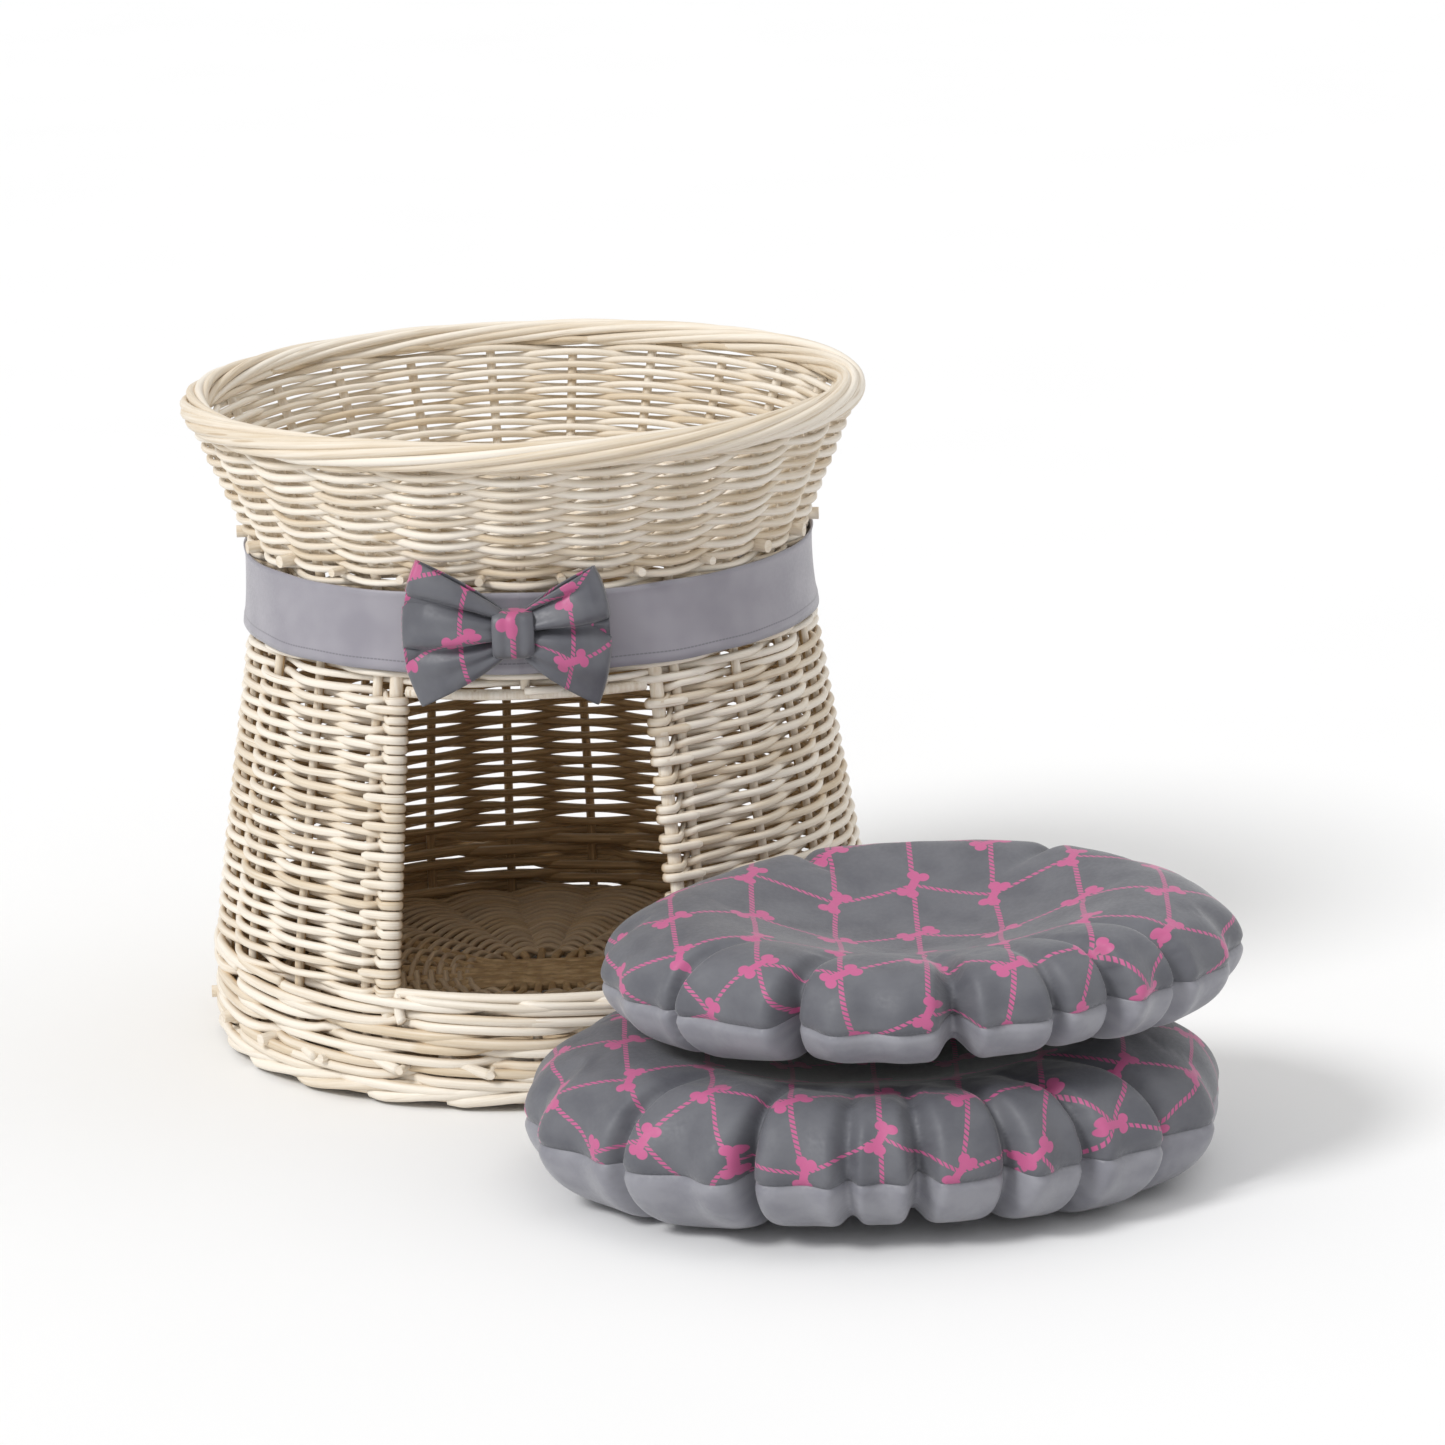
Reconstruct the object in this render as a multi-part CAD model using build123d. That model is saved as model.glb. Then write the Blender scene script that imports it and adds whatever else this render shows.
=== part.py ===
"""Round two-storey wicker pet tower: a cave with a doorway below, a flared open tray above,
a cloth band with a bow round the waist, and two loose stuffed cushions beside it.

Millimetres, +Z up. The origin is on the floor under the basket's own axis, and the doorway
faces -Y. The basket is round about +Z; angles are measured from -Y towards +X.
"""

from build123d import *

import math
import os

# ---- basket: heights ----
TOTAL_HEIGHT = 488.0
RIM_BORDER_DIA = 22.0
FOOT_BORDER_DIA = 22.0
FOOT_FLAT_DEPTH = 1.0  # worn off the underside of the foot border, so that it stands flat
TRAY_DEPTH = 95.0  # from the middle of the rim border down to the tray's floor sticks
WAIST_HEIGHT = 40.0  # straight part of the wall between cave and tray
SHOULDER_HEIGHT = 88.0  # where the upright foot starts to lean in towards the waist
SILL_HEIGHT = 80.0  # top of the foot weave in the doorway, under the sill rod
HEADER_HEIGHT = 19.0  # weave that shows between the lintel's underside and the band

# ---- basket: radii of the stake circle ----
FOOT_RADIUS = 238.0
WAIST_RADIUS = 198.5
RIM_RADIUS = 236.0
RIM_OVERHANG = 5.0  # the rim border's middle lies this far outside the stakes
SHOULDER_BEND = 300.0
CAVE_TOP_BEND = 200.0
TRAY_BEND = 90.0

# ---- willow rods ----
STAKE_COUNT = 23  # an odd count, so one weaver alternates by itself from row to row
STAKE_DIA = 7.0
WEAVER_DIA = 4.5  # what the weave adds on each side of the stakes
PIERCED_DIA = 9.0
THREADED_DIA = 6.0
STICKS_PER_SET = 6
STICK_PITCH = 10.5
STICK_STUB = 6.0  # a stick's cut end stands out of the wall by this much
STICK_BEND = 40.0
CROSS_HALF = 44.0  # half width of the bare cross at the middle of a floor
FLOOR_WEAVE = 15.0
POST_DIA = 10.0
POST_INTO_FOOT = 40.0
POST_INTO_WAIST = 36.0
SILL_ROD_DIA = 8.0
LINTEL_ROD_DIA = 8.0
ROD_CLEARANCE = 0.15
FLOOR_CLEARANCE = 0.3

# ---- doorway ----
DOOR_HALF_ANGLE = 24.7
POST_FROM_EDGE = 9.0  # post's middle behind the doorway's edge, with the wrapped weave between

# ---- cloth ----
BAND_WIDTH = 61.0
BAND_THICK = 1.4
BAND_CLEARANCE = 0.6
FASTENER_THICK = 1.2
FASTENER_LENGTH = 44.0
FASTENER_MARGIN = 4.0
TAIL_LENGTH = 66.0
BOW_THICK = 24.0
BOW_KNOT_WIDTH = 26.0
BOW_KNOT_HEIGHT = 30.0
BOW_KNOT_WALL = 2.0
BOW_NECK_DEPTH = 20.0
BOW_LEFT_REACH = 76.0
BOW_RIGHT_REACH = 76.0
BOW_SPREAD = 104.0  # height between the points of a loop
BOW_CENTRE_X = -6.0
BOW_ABOVE_MIDDLE = 3.0  # the knot sits this much above the band's middle
BOW_CLEARANCE = 0.4

# ---- cushions ----
COVER_THICK = 1.2
COVER_CLEARANCE = 0.1
LOWER_LENGTH = 480.0
LOWER_WIDTH = 384.0
LOWER_THICK = 106.0
LOWER_DISH = 34.0
LOWER_BEARING = 30.5  # the direction from the basket's axis to the cushion's middle
CUSHION_GAP = 4.0  # between the basket's widest circle and the lower cushion
UPPER_LENGTH = 440.0
UPPER_WIDTH = 356.0
UPPER_THICK = 84.0
UPPER_DISH = 26.0
UPPER_SHIFT_X = 38.0
UPPER_SHIFT_Y = 8.0
UPPER_TILT = 1.5  # its right end lies higher
STACK_CLEARANCE = 0.4  # between the two cushions where they come nearest

# ---- derived heights ----
FOOT_BORDER_Z = FOOT_BORDER_DIA / 2 - FOOT_FLAT_DEPTH
FOOT_WALL_Z = FOOT_BORDER_DIA - FOOT_FLAT_DEPTH + FLOOR_CLEARANCE
RIM_BORDER_Z = TOTAL_HEIGHT - RIM_BORDER_DIA / 2
WALL_TOP_Z = RIM_BORDER_Z - RIM_BORDER_DIA / 2 - FLOOR_CLEARANCE
CAVE_FLOOR_Z = FOOT_WALL_Z + FLOOR_WEAVE / 2 + 1.0
TRAY_FLOOR_Z = RIM_BORDER_Z - TRAY_DEPTH
WAIST_TOP_Z = TRAY_FLOOR_Z - 4.0
WAIST_LOW_Z = WAIST_TOP_Z - WAIST_HEIGHT
BAND_TOP_Z = TRAY_FLOOR_Z - PIERCED_DIA / 2 - 3.5
BAND_LOW_Z = BAND_TOP_Z - BAND_WIDTH
DOOR_TOP_Z = BAND_LOW_Z - HEADER_HEIGHT
LINTEL_TOP_Z = DOOR_TOP_Z + LINTEL_ROD_DIA

# ---- derived radii and angles ----
WALL_HALF = STAKE_DIA / 2 + WEAVER_DIA
RIM_BORDER_R = RIM_RADIUS + RIM_OVERHANG
STAKE_STEP = 360.0 / STAKE_COUNT
BAND_INSIDE = WALL_HALF + BAND_CLEARANCE
POST_ANGLE = DOOR_HALF_ANGLE + math.degrees(POST_FROM_EDGE / FOOT_RADIUS)
WIDEST = max(FOOT_RADIUS + WALL_HALF + STICK_STUB, RIM_BORDER_R + RIM_BORDER_DIA / 2)

FAR = 2 * (FOOT_RADIUS + RIM_RADIUS)  # reaches past the whole basket
# a stake nearer to a door post than this would stand in its way
POST_ROOM = math.degrees((POST_DIA + STAKE_DIA + 4 * ROD_CLEARANCE) / 2 / WAIST_RADIUS)


def fitting_bends(points, runs):
    """The radii of the wall's three bends, made smaller where two of them would meet."""
    bends = [SHOULDER_BEND, CAVE_TOP_BEND, TRAY_BEND]
    turns = [math.radians(a.get_angle(b)) for a, b in zip(runs, runs[1:])]
    for i in (0, 1):
        needed = sum(bends[k] * math.tan(turns[k] / 2) for k in (i, i + 1))
        room = 0.98 * (points[i + 2] - points[i + 1]).length
        if needed > room:
            bends[i] *= room / needed
            bends[i + 1] *= room / needed
    return bends


def meridian(offset):
    """The wall's line in the XZ half plane, moved outwards by offset: upright foot, a lean in
    to the waist, a straight waist and a flare to the rim. Returns its points and bend radii."""
    points = [
        Vector(FOOT_RADIUS, 0, 0),
        Vector(FOOT_RADIUS, 0, SHOULDER_HEIGHT),
        Vector(WAIST_RADIUS, 0, WAIST_LOW_Z),
        Vector(WAIST_RADIUS, 0, WAIST_TOP_Z),
        Vector(RIM_RADIUS, 0, WALL_TOP_Z),
    ]
    runs = [(b - a).normalized() for a, b in zip(points, points[1:])]
    sides = [Vector(run.Z, 0, -run.X) for run in runs]
    moved = [points[0] + sides[0] * offset]
    for point, before, after in zip(points[1:-1], sides, sides[1:]):
        mitre = (before + after).normalized()
        moved.append(point + mitre * (offset / mitre.dot(before)))
    moved.append(points[-1] + sides[-1] * offset)
    shoulder, cave_top, tray = fitting_bends(points, runs)
    return moved, [shoulder + offset, cave_top - offset, tray - offset]


def meridian_wire(offset):
    """The meridian as one smooth wire of straight runs and tangent arcs."""
    points, bends = meridian(offset)
    return FilletPolyline(*points, radius=bends)


def core(offset):
    """Everything within the wall's line moved outwards by offset, as one solid of revolution."""
    wire = meridian_wire(offset)
    start, end = wire @ 0, wire @ 1
    closing = Polyline(end, (0, 0, end.Z), (0, 0, start.Z), start)
    return revolve(make_face(Curve() + [wire, closing]), Axis.Z)


def layer(inside, thick, low, high):
    """A layer of cloth laid all the way round the wall, between two heights."""
    return (core(inside + thick) - core(inside)) & slab(low, high)


def back_patch(inside, thick, low, high, width):
    """A strip of such a layer at the back of the basket, cut to a width."""
    window = Pos(0, WAIST_RADIUS, (low + high) / 2) * Box(width, WAIST_RADIUS, high - low)
    return (core(inside + thick) - core(inside)) & window


def slab(low, high):
    """A wide block between two heights, which cuts a length out of a wall or rod."""
    return Pos(0, 0, (low + high) / 2) * Box(FAR, FAR, high - low)


def wedge(half_angle, low, high, towards=0.0):
    """A sector of the basket between two heights, half_angle to each side of a direction."""
    reach = FAR / 2
    side = reach * math.tan(math.radians(half_angle))
    plan = make_face(Polyline((0, 0), (side, -reach), (-side, -reach), close=True))
    return Rot(0, 0, towards) * (Pos(0, 0, low) * extrude(plan, high - low, dir=(0, 0, 1)))


def rod(path, diameter):
    """A round rod along a path."""
    return sweep(Plane(origin=path @ 0, z_dir=path % 0) * Circle(diameter / 2), path)


def upright(angle, diameter, low, high):
    """A rod along the wall's own line at an angle from the doorway, between two heights."""
    whole = rod(meridian_wire(0), diameter)
    return Rot(0, 0, angle - 90) * (whole & slab(low, high))


def ring_arc(radius, height, half_angle, diameter):
    """A rod bent to the wall's curve across the doorway."""
    arc = CenterArc((0, 0, height), radius, -90 - half_angle, 2 * half_angle)
    return rod(arc, diameter)


def meridian_radius(height):
    """The stake circle's radius at a height, read off the wall's line."""
    wire = meridian_wire(0)
    cut = wire.intersect(Plane.XY.offset(height))
    return max(point.X for point in cut.vertices())


def gap_angle(index):
    """The middle of the gap between two stakes, counted from the doorway's middle."""
    return (index + 0.5) * STAKE_STEP


def stick_path(offset, along, near_angle, far_angle, reach, height):
    """A floor stick's line: straight through the cross, then fanned out to a gap between the
    stakes at each end. It is cut short beyond the cross where far_angle is None."""
    across = Vector(along.Y, -along.X, 0)

    def end(angle):
        a = math.radians(angle)
        return Vector(reach * math.sin(a), -reach * math.cos(a), height)

    middle = Vector(0, 0, height) + across * offset
    near, far = middle - along * CROSS_HALF, middle + along * CROSS_HALF
    if far_angle is None:
        return FilletPolyline(end(near_angle), near, far + along * CROSS_HALF / 2, radius=STICK_BEND)
    return FilletPolyline(end(near_angle), near, far, end(far_angle), radius=STICK_BEND)


def floor_sticks(height, extra=0.0):
    """The two sets of floor sticks. The pierced set runs left to right and the threaded set
    goes through its slits; together their ends fill the gaps between the stakes."""
    reach = meridian_radius(height) + WALL_HALF + STICK_STUB
    half = STICKS_PER_SET // 2
    pierced, threaded = [], []
    for i in range(STICKS_PER_SET):
        offset = (i - (STICKS_PER_SET - 1) / 2) * STICK_PITCH
        side = gap_angle(half + i)
        path = stick_path(-offset, Vector(1, 0, 0), -side, side, reach, height)
        pierced.append(rod(path, PIERCED_DIA + extra))
        front = gap_angle(i - half)
        last = i == STICKS_PER_SET - 1
        back = None if last else 180 - (i - 2) * STAKE_STEP
        path = stick_path(offset, Vector(0, 1, 0), front, back, reach, height)
        threaded.append(rod(path, THREADED_DIA + extra))
    return pierced, threaded


def pierced_set(height):
    """The pierced sticks, with the slits that the threaded ones pass through."""
    slits = floor_sticks(height, 2 * ROD_CLEARANCE)[1]
    return [stick - slits for stick in floor_sticks(height)[0]]


def floor_weave(height):
    """A woven floor: a flat disc round the bare cross, with a channel for each stick."""
    disc = core(-WALL_HALF - FLOOR_CLEARANCE) & slab(height - FLOOR_WEAVE / 2, height + FLOOR_WEAVE / 2)
    bare = Pos(0, 0, height) * Cylinder(CROSS_HALF * 1.3, 2 * FLOOR_WEAVE)
    pierced, threaded = floor_sticks(height, 2 * ROD_CLEARANCE)
    return disc - [bare, *pierced, *threaded]


def border(radius, height, diameter):
    """A rolled border, as a round ring."""
    return Pos(0, 0, height) * Torus(radius, diameter / 2)


def cushion_core(length, thick, dish, grow):
    """A round stuffed pad that stands on z = 0: flat underneath, full round its edge and
    dished on top. grow moves its whole surface outwards."""
    edge = thick / 2
    inner = length / 2 - edge
    low, high, rim = -grow, thick + grow, length / 2 + grow
    bottom = Line((0, 0, low), (inner, 0, low))
    side = ThreePointArc((inner, 0, low), (rim, 0, edge), (inner, 0, high))
    middle = high - dish
    top = Bezier((inner, 0, high), (inner - edge, 0, high), (inner / 3, 0, middle), (0, 0, middle))
    axis = Line((0, 0, middle), (0, 0, low))
    return revolve(make_face(Curve() + [bottom, side, top, axis]), Axis.Z)


def cushion(length, width, thick, dish, place):
    """A cushion's filling and the two halves of its cover, which meet in a seam half way up."""
    filling = cushion_core(length - 2 * COVER_THICK, thick - 2 * COVER_THICK, dish, 0)
    inside = cushion_core(length - 2 * COVER_THICK, thick - 2 * COVER_THICK, dish, COVER_CLEARANCE)
    outside = cushion_core(length - 2 * COVER_THICK, thick - 2 * COVER_THICK, dish, COVER_THICK)
    skin = outside - inside
    seam = thick / 2 - COVER_THICK
    pieces = {
        "fill": filling,
        "top_cover": skin & slab(seam + COVER_CLEARANCE / 2, 2 * thick),
        "bottom_cover": skin & slab(-thick, seam - COVER_CLEARANCE / 2),
    }
    narrow = (1, width / length, 1)
    return {name: place * (Pos(0, 0, COVER_THICK) * scale(piece, by=narrow)) for name, piece in pieces.items()}


def lower_place():
    """Where the lower cushion lies: on the floor, just clear of the basket's widest circle."""
    a = math.radians(LOWER_BEARING)
    reach = math.hypot(LOWER_LENGTH / 2 * math.sin(a), LOWER_WIDTH / 2 * math.cos(a))
    out = WIDEST + CUSHION_GAP + reach
    return Pos(out * math.sin(a), -out * math.cos(a), 0)


def upper_place():
    """Where the upper cushion lies: on the lower one, moved along and tilted."""
    dip = (UPPER_LENGTH - UPPER_THICK) / 2 * math.sin(math.radians(UPPER_TILT))
    above = LOWER_THICK + STACK_CLEARANCE + dip
    return lower_place() * Pos(UPPER_SHIFT_X, UPPER_SHIFT_Y, above) * Rot(0, -UPPER_TILT, 0)


def bow_pieces():
    """The bow's folded loops, one strip of cloth pinched in the middle, and the knot round it."""
    centre_z = (BAND_TOP_Z + BAND_LOW_Z) / 2 + BOW_ABOVE_MIDDLE
    knot_ends = [centre_z - BOW_KNOT_HEIGHT / 2, centre_z + BOW_KNOT_HEIGHT / 2]
    waist = max(meridian_radius(z) for z in knot_ends)
    back = -(waist + BAND_INSIDE + BAND_THICK + BOW_CLEARANCE)
    half_knot, half_neck = BOW_KNOT_WIDTH / 2, BOW_KNOT_HEIGHT / 2 - BOW_KNOT_WALL - BOW_CLEARANCE
    half_spread = BOW_SPREAD / 2
    loops = Part()
    for side, reach in ((-1, BOW_LEFT_REACH), (1, BOW_RIGHT_REACH)):
        outline = Polyline(
            (side * half_knot, -half_neck),
            (side * reach * 0.87, -half_spread),
            (side * reach, 0),
            (side * reach * 0.87, half_spread),
            (side * half_knot, half_neck),
            close=True,
        )
        loop = extrude(Plane.XZ * make_face(outline), BOW_THICK, dir=(0, -1, 0))
        loops += Pos(0, -BOW_KNOT_WALL - BOW_CLEARANCE, 0) * loop
    neck_y = -BOW_KNOT_WALL - BOW_CLEARANCE - BOW_NECK_DEPTH / 2
    loops += Pos(0, neck_y, 0) * Box(BOW_KNOT_WIDTH + 2, BOW_NECK_DEPTH, 2 * half_neck)
    hole_depth = BOW_NECK_DEPTH + 2 * BOW_CLEARANCE
    hole = Box(2 * BOW_KNOT_WIDTH, hole_depth, 2 * (half_neck + BOW_CLEARANCE))
    width = BOW_KNOT_WIDTH - 2 * BOW_CLEARANCE
    sleeve = Box(width, hole_depth + 2 * BOW_KNOT_WALL, BOW_KNOT_HEIGHT)
    knot = Pos(0, -BOW_KNOT_WALL - hole_depth / 2, 0) * (sleeve - hole)
    place = Pos(BOW_CENTRE_X, back, centre_z)
    return place * loops, place * knot


def basket_nodes():
    """The willow pieces of the basket, by name."""
    angles = [k * STAKE_STEP for k in range(-(STAKE_COUNT // 2), STAKE_COUNT // 2 + 1)]
    door_angles = [a for a in angles if abs(a) < POST_ANGLE - POST_ROOM]
    full = [a for a in angles if abs(a) > POST_ANGLE + POST_ROOM]
    posts = {"left": -POST_ANGLE, "right": POST_ANGLE}
    post_low, post_high = SILL_HEIGHT - POST_INTO_FOOT, LINTEL_TOP_Z + POST_INTO_WAIST

    hole = STAKE_DIA + 2 * ROD_CLEARANCE
    channels = [upright(a, hole, 0, WALL_TOP_Z + 1) for a in door_angles + full]
    post_play = 2 * ROD_CLEARANCE
    for angle in posts.values():
        channels.append(upright(angle, POST_DIA + post_play, post_low - 1, post_high + 1))
    for height in (CAVE_FLOOR_Z, TRAY_FLOOR_Z):
        pierced, threaded = floor_sticks(height, 2 * ROD_CLEARANCE)
        channels += pierced + threaded
    wall = (core(WALL_HALF) - core(-WALL_HALF)) - channels

    sill_z = SILL_HEIGHT + SILL_ROD_DIA / 2
    lintel_z = DOOR_TOP_Z + LINTEL_ROD_DIA / 2
    rod_half = DOOR_HALF_ANGLE - 0.3
    nodes = {
        "foot_border": border(FOOT_RADIUS, FOOT_BORDER_Z, FOOT_BORDER_DIA) & slab(0, FOOT_BORDER_DIA),
        "foot_weave": wall & slab(FOOT_WALL_Z, SILL_HEIGHT),
        "cave_wall_weave": (wall & slab(SILL_HEIGHT, LINTEL_TOP_Z))
        - wedge(DOOR_HALF_ANGLE, SILL_HEIGHT - 1, LINTEL_TOP_Z + 1),
        "waist_weave": wall & slab(LINTEL_TOP_Z, WAIST_TOP_Z - PIERCED_DIA),
        "tray_wall_weave": wall & slab(WAIST_TOP_Z - PIERCED_DIA, WALL_TOP_Z),
        "rim_border": border(RIM_BORDER_R, RIM_BORDER_Z, RIM_BORDER_DIA),
        "stakes": [upright(a, STAKE_DIA, FOOT_WALL_Z, WALL_TOP_Z) for a in full],
        "sill_stakes": [upright(a, STAKE_DIA, FOOT_WALL_Z, SILL_HEIGHT) for a in door_angles],
        "header_stakes": [upright(a, STAKE_DIA, LINTEL_TOP_Z, WALL_TOP_Z) for a in door_angles],
        "door_sill_rod": ring_arc(meridian_radius(sill_z), sill_z, rod_half, SILL_ROD_DIA - 0.1),
        "door_lintel_rod": ring_arc(meridian_radius(lintel_z), lintel_z, rod_half, LINTEL_ROD_DIA - 0.1),
    }
    for side, angle in posts.items():
        nodes[f"door_post_{side}"] = upright(angle, POST_DIA, post_low, post_high)
    for name, height in (("cave", CAVE_FLOOR_Z), ("tray", TRAY_FLOOR_Z)):
        nodes[f"{name}_floor_weave"] = floor_weave(height)
        nodes[f"{name}_floor_pierced_sticks"] = pierced_set(height)
        nodes[f"{name}_floor_threaded_sticks"] = floor_sticks(height)[1]
    return nodes


def cloth_nodes():
    """The band round the waist with its fastening at the back, and the bow in front."""
    fastener_low, fastener_high = BAND_LOW_Z + FASTENER_MARGIN, BAND_TOP_Z - FASTENER_MARGIN
    fastener_inside = BAND_INSIDE + BAND_THICK
    tail_inside = fastener_inside + FASTENER_THICK
    loops, knot = bow_pieces()
    return {
        "waist_band": layer(BAND_INSIDE, BAND_THICK, BAND_LOW_Z, BAND_TOP_Z),
        "band_fastener": back_patch(
            fastener_inside, FASTENER_THICK, fastener_low, fastener_high, FASTENER_LENGTH
        ),
        "band_tail": back_patch(tail_inside, BAND_THICK, BAND_LOW_Z, BAND_TOP_Z, TAIL_LENGTH),
        "bow_loops": loops,
        "bow_knot": knot,
    }


def cushion_nodes():
    """The two loose cushions, each a filling in a two-part cover."""
    lower = cushion(LOWER_LENGTH, LOWER_WIDTH, LOWER_THICK, LOWER_DISH, lower_place())
    upper = cushion(UPPER_LENGTH, UPPER_WIDTH, UPPER_THICK, UPPER_DISH, upper_place())
    nodes = {f"lower_cushion_{name}": piece for name, piece in lower.items()}
    nodes.update({f"upper_cushion_{name}": piece for name, piece in upper.items()})
    return nodes


def main():
    """Writes one STEP file for each named piece."""
    os.makedirs("parts", exist_ok=True)
    nodes = {**basket_nodes(), **cloth_nodes(), **cushion_nodes()}
    for name, shape in nodes.items():
        solids = shape if isinstance(shape, list) else [shape]
        solids = [solid for piece in solids for solid in piece.solids()]
        export_step(Compound(label=name, children=solids), f"parts/{name}.step")
        print(name, len(solids), round(sum(solid.volume for solid in solids)))


main()
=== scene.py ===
"""Looks of a round two-storey wicker pet tower with a cloth band, a bow and two loose cushions.

Metres, +Z up, the basket's axis on Z and its doorway towards -Y. Angles are measured from -Y
towards +X, and a place on the wall is given by its angle, its way along the wall's line from the
floor up, and its distance outwards from that line.
"""

import logging
import math
from dataclasses import dataclass, field
from enum import Enum
from functools import cached_property
from typing import Any, Optional, Union

import bpy
import numpy as np
from mathutils import Matrix, Vector


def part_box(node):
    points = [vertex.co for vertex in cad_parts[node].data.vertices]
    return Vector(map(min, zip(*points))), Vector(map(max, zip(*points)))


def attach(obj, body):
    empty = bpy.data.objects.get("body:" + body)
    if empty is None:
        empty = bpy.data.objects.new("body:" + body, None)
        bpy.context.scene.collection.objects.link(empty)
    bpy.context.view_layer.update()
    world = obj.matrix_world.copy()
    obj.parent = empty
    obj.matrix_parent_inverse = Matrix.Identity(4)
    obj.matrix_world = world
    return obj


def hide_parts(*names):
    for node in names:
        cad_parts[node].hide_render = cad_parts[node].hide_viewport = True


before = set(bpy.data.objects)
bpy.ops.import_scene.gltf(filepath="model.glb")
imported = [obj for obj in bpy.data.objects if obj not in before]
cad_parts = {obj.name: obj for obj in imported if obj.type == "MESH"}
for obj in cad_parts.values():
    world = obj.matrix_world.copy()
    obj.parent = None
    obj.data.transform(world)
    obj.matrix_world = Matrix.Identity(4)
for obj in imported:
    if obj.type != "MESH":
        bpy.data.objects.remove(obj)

LOG = logging.getLogger("pet_tower")
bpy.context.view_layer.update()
Colour = tuple[float, float, float, float]
Folds = tuple[tuple[float, float, float], ...]
END_DOME = 0.12  # how far a rod's closed end stands out, as a share of its width


class Body(Enum):
    """The bodies that pieces ride on."""

    BASKET = "basket"
    LOWER_CUSHION = "lower_cushion"
    UPPER_CUSHION = "upper_cushion"


def paint(red: int, green: int, blue: int) -> Colour:
    """A colour given in 0-255 display values, as the linear colour that a shader takes."""
    parts = [c / 255 for c in (red, green, blue)]
    linear = [c / 12.92 if c <= 0.04045 else ((c + 0.055) / 1.055) ** 2.4 for c in parts]
    return (linear[0], linear[1], linear[2], 1.0)


# ---------------------------------------------------------------- shader maths


class Shade:
    """One output socket in a material, with Python operators that add its Math nodes."""

    def __init__(self, nodes: "Nodes", socket: Any) -> None:
        """Keeps the socket and the material's node maker."""
        self.nodes = nodes
        self.socket = socket

    def math(self, operation: str, *others: Any) -> "Shade":
        """A Math node with this socket as its first value."""
        values = {index + 1: value for index, value in enumerate(others)}
        return self.nodes.add("ShaderNodeMath", {"operation": operation}, {0: self, **values})

    def __add__(self, other: Any) -> "Shade":
        """self + other"""
        return self.math("ADD", other)

    def __sub__(self, other: Any) -> "Shade":
        """self - other"""
        return self.math("SUBTRACT", other)

    def __rsub__(self, other: float) -> "Shade":
        """other - self"""
        return self.nodes.add("ShaderNodeMath", {"operation": "SUBTRACT"}, {0: other, 1: self})

    def __mul__(self, other: Any) -> "Shade":
        """self * other"""
        return self.math("MULTIPLY", other)

    def __truediv__(self, other: Any) -> "Shade":
        """self / other"""
        return self.math("DIVIDE", other)

    __radd__ = __add__
    __rmul__ = __mul__

    def size(self) -> "Shade":
        """The value without its sign."""
        return self.math("ABSOLUTE")

    def off_nearest(self, pitch: float) -> "Shade":
        """How far the value is from the nearest whole number of pitches, with its sign."""
        return self - self.nearest(pitch) * pitch

    def nearest(self, pitch: float) -> "Shade":
        """The nearest whole number of pitches."""
        return (self / pitch).math("ROUND")

    def below(self, limit: float, soft: float) -> "Shade":
        """1 where the value is under the limit and 0 above it, with a soft edge."""
        return self.ramp(limit + soft, limit - soft)

    def ramp(self, start: float, end: float, low: float = 0.0, high: float = 1.0) -> "Shade":
        """Goes smoothly from low to high while the value goes from start to end."""
        return self.nodes.add(
            "ShaderNodeMapRange",
            {"interpolation_type": "SMOOTHSTEP"},
            {"Value": self, "From Min": start, "From Max": end, "To Min": low, "To Max": high},
        )

    def pick(self, none: Any, full: Any) -> "Shade":
        """The colour none where this factor is 0, full where it is 1, and a mix between."""
        return self.nodes.add(
            "ShaderNodeMix", {"data_type": "RGBA"}, {"Factor": self, 6: none, 7: full}, output=2
        )


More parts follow.
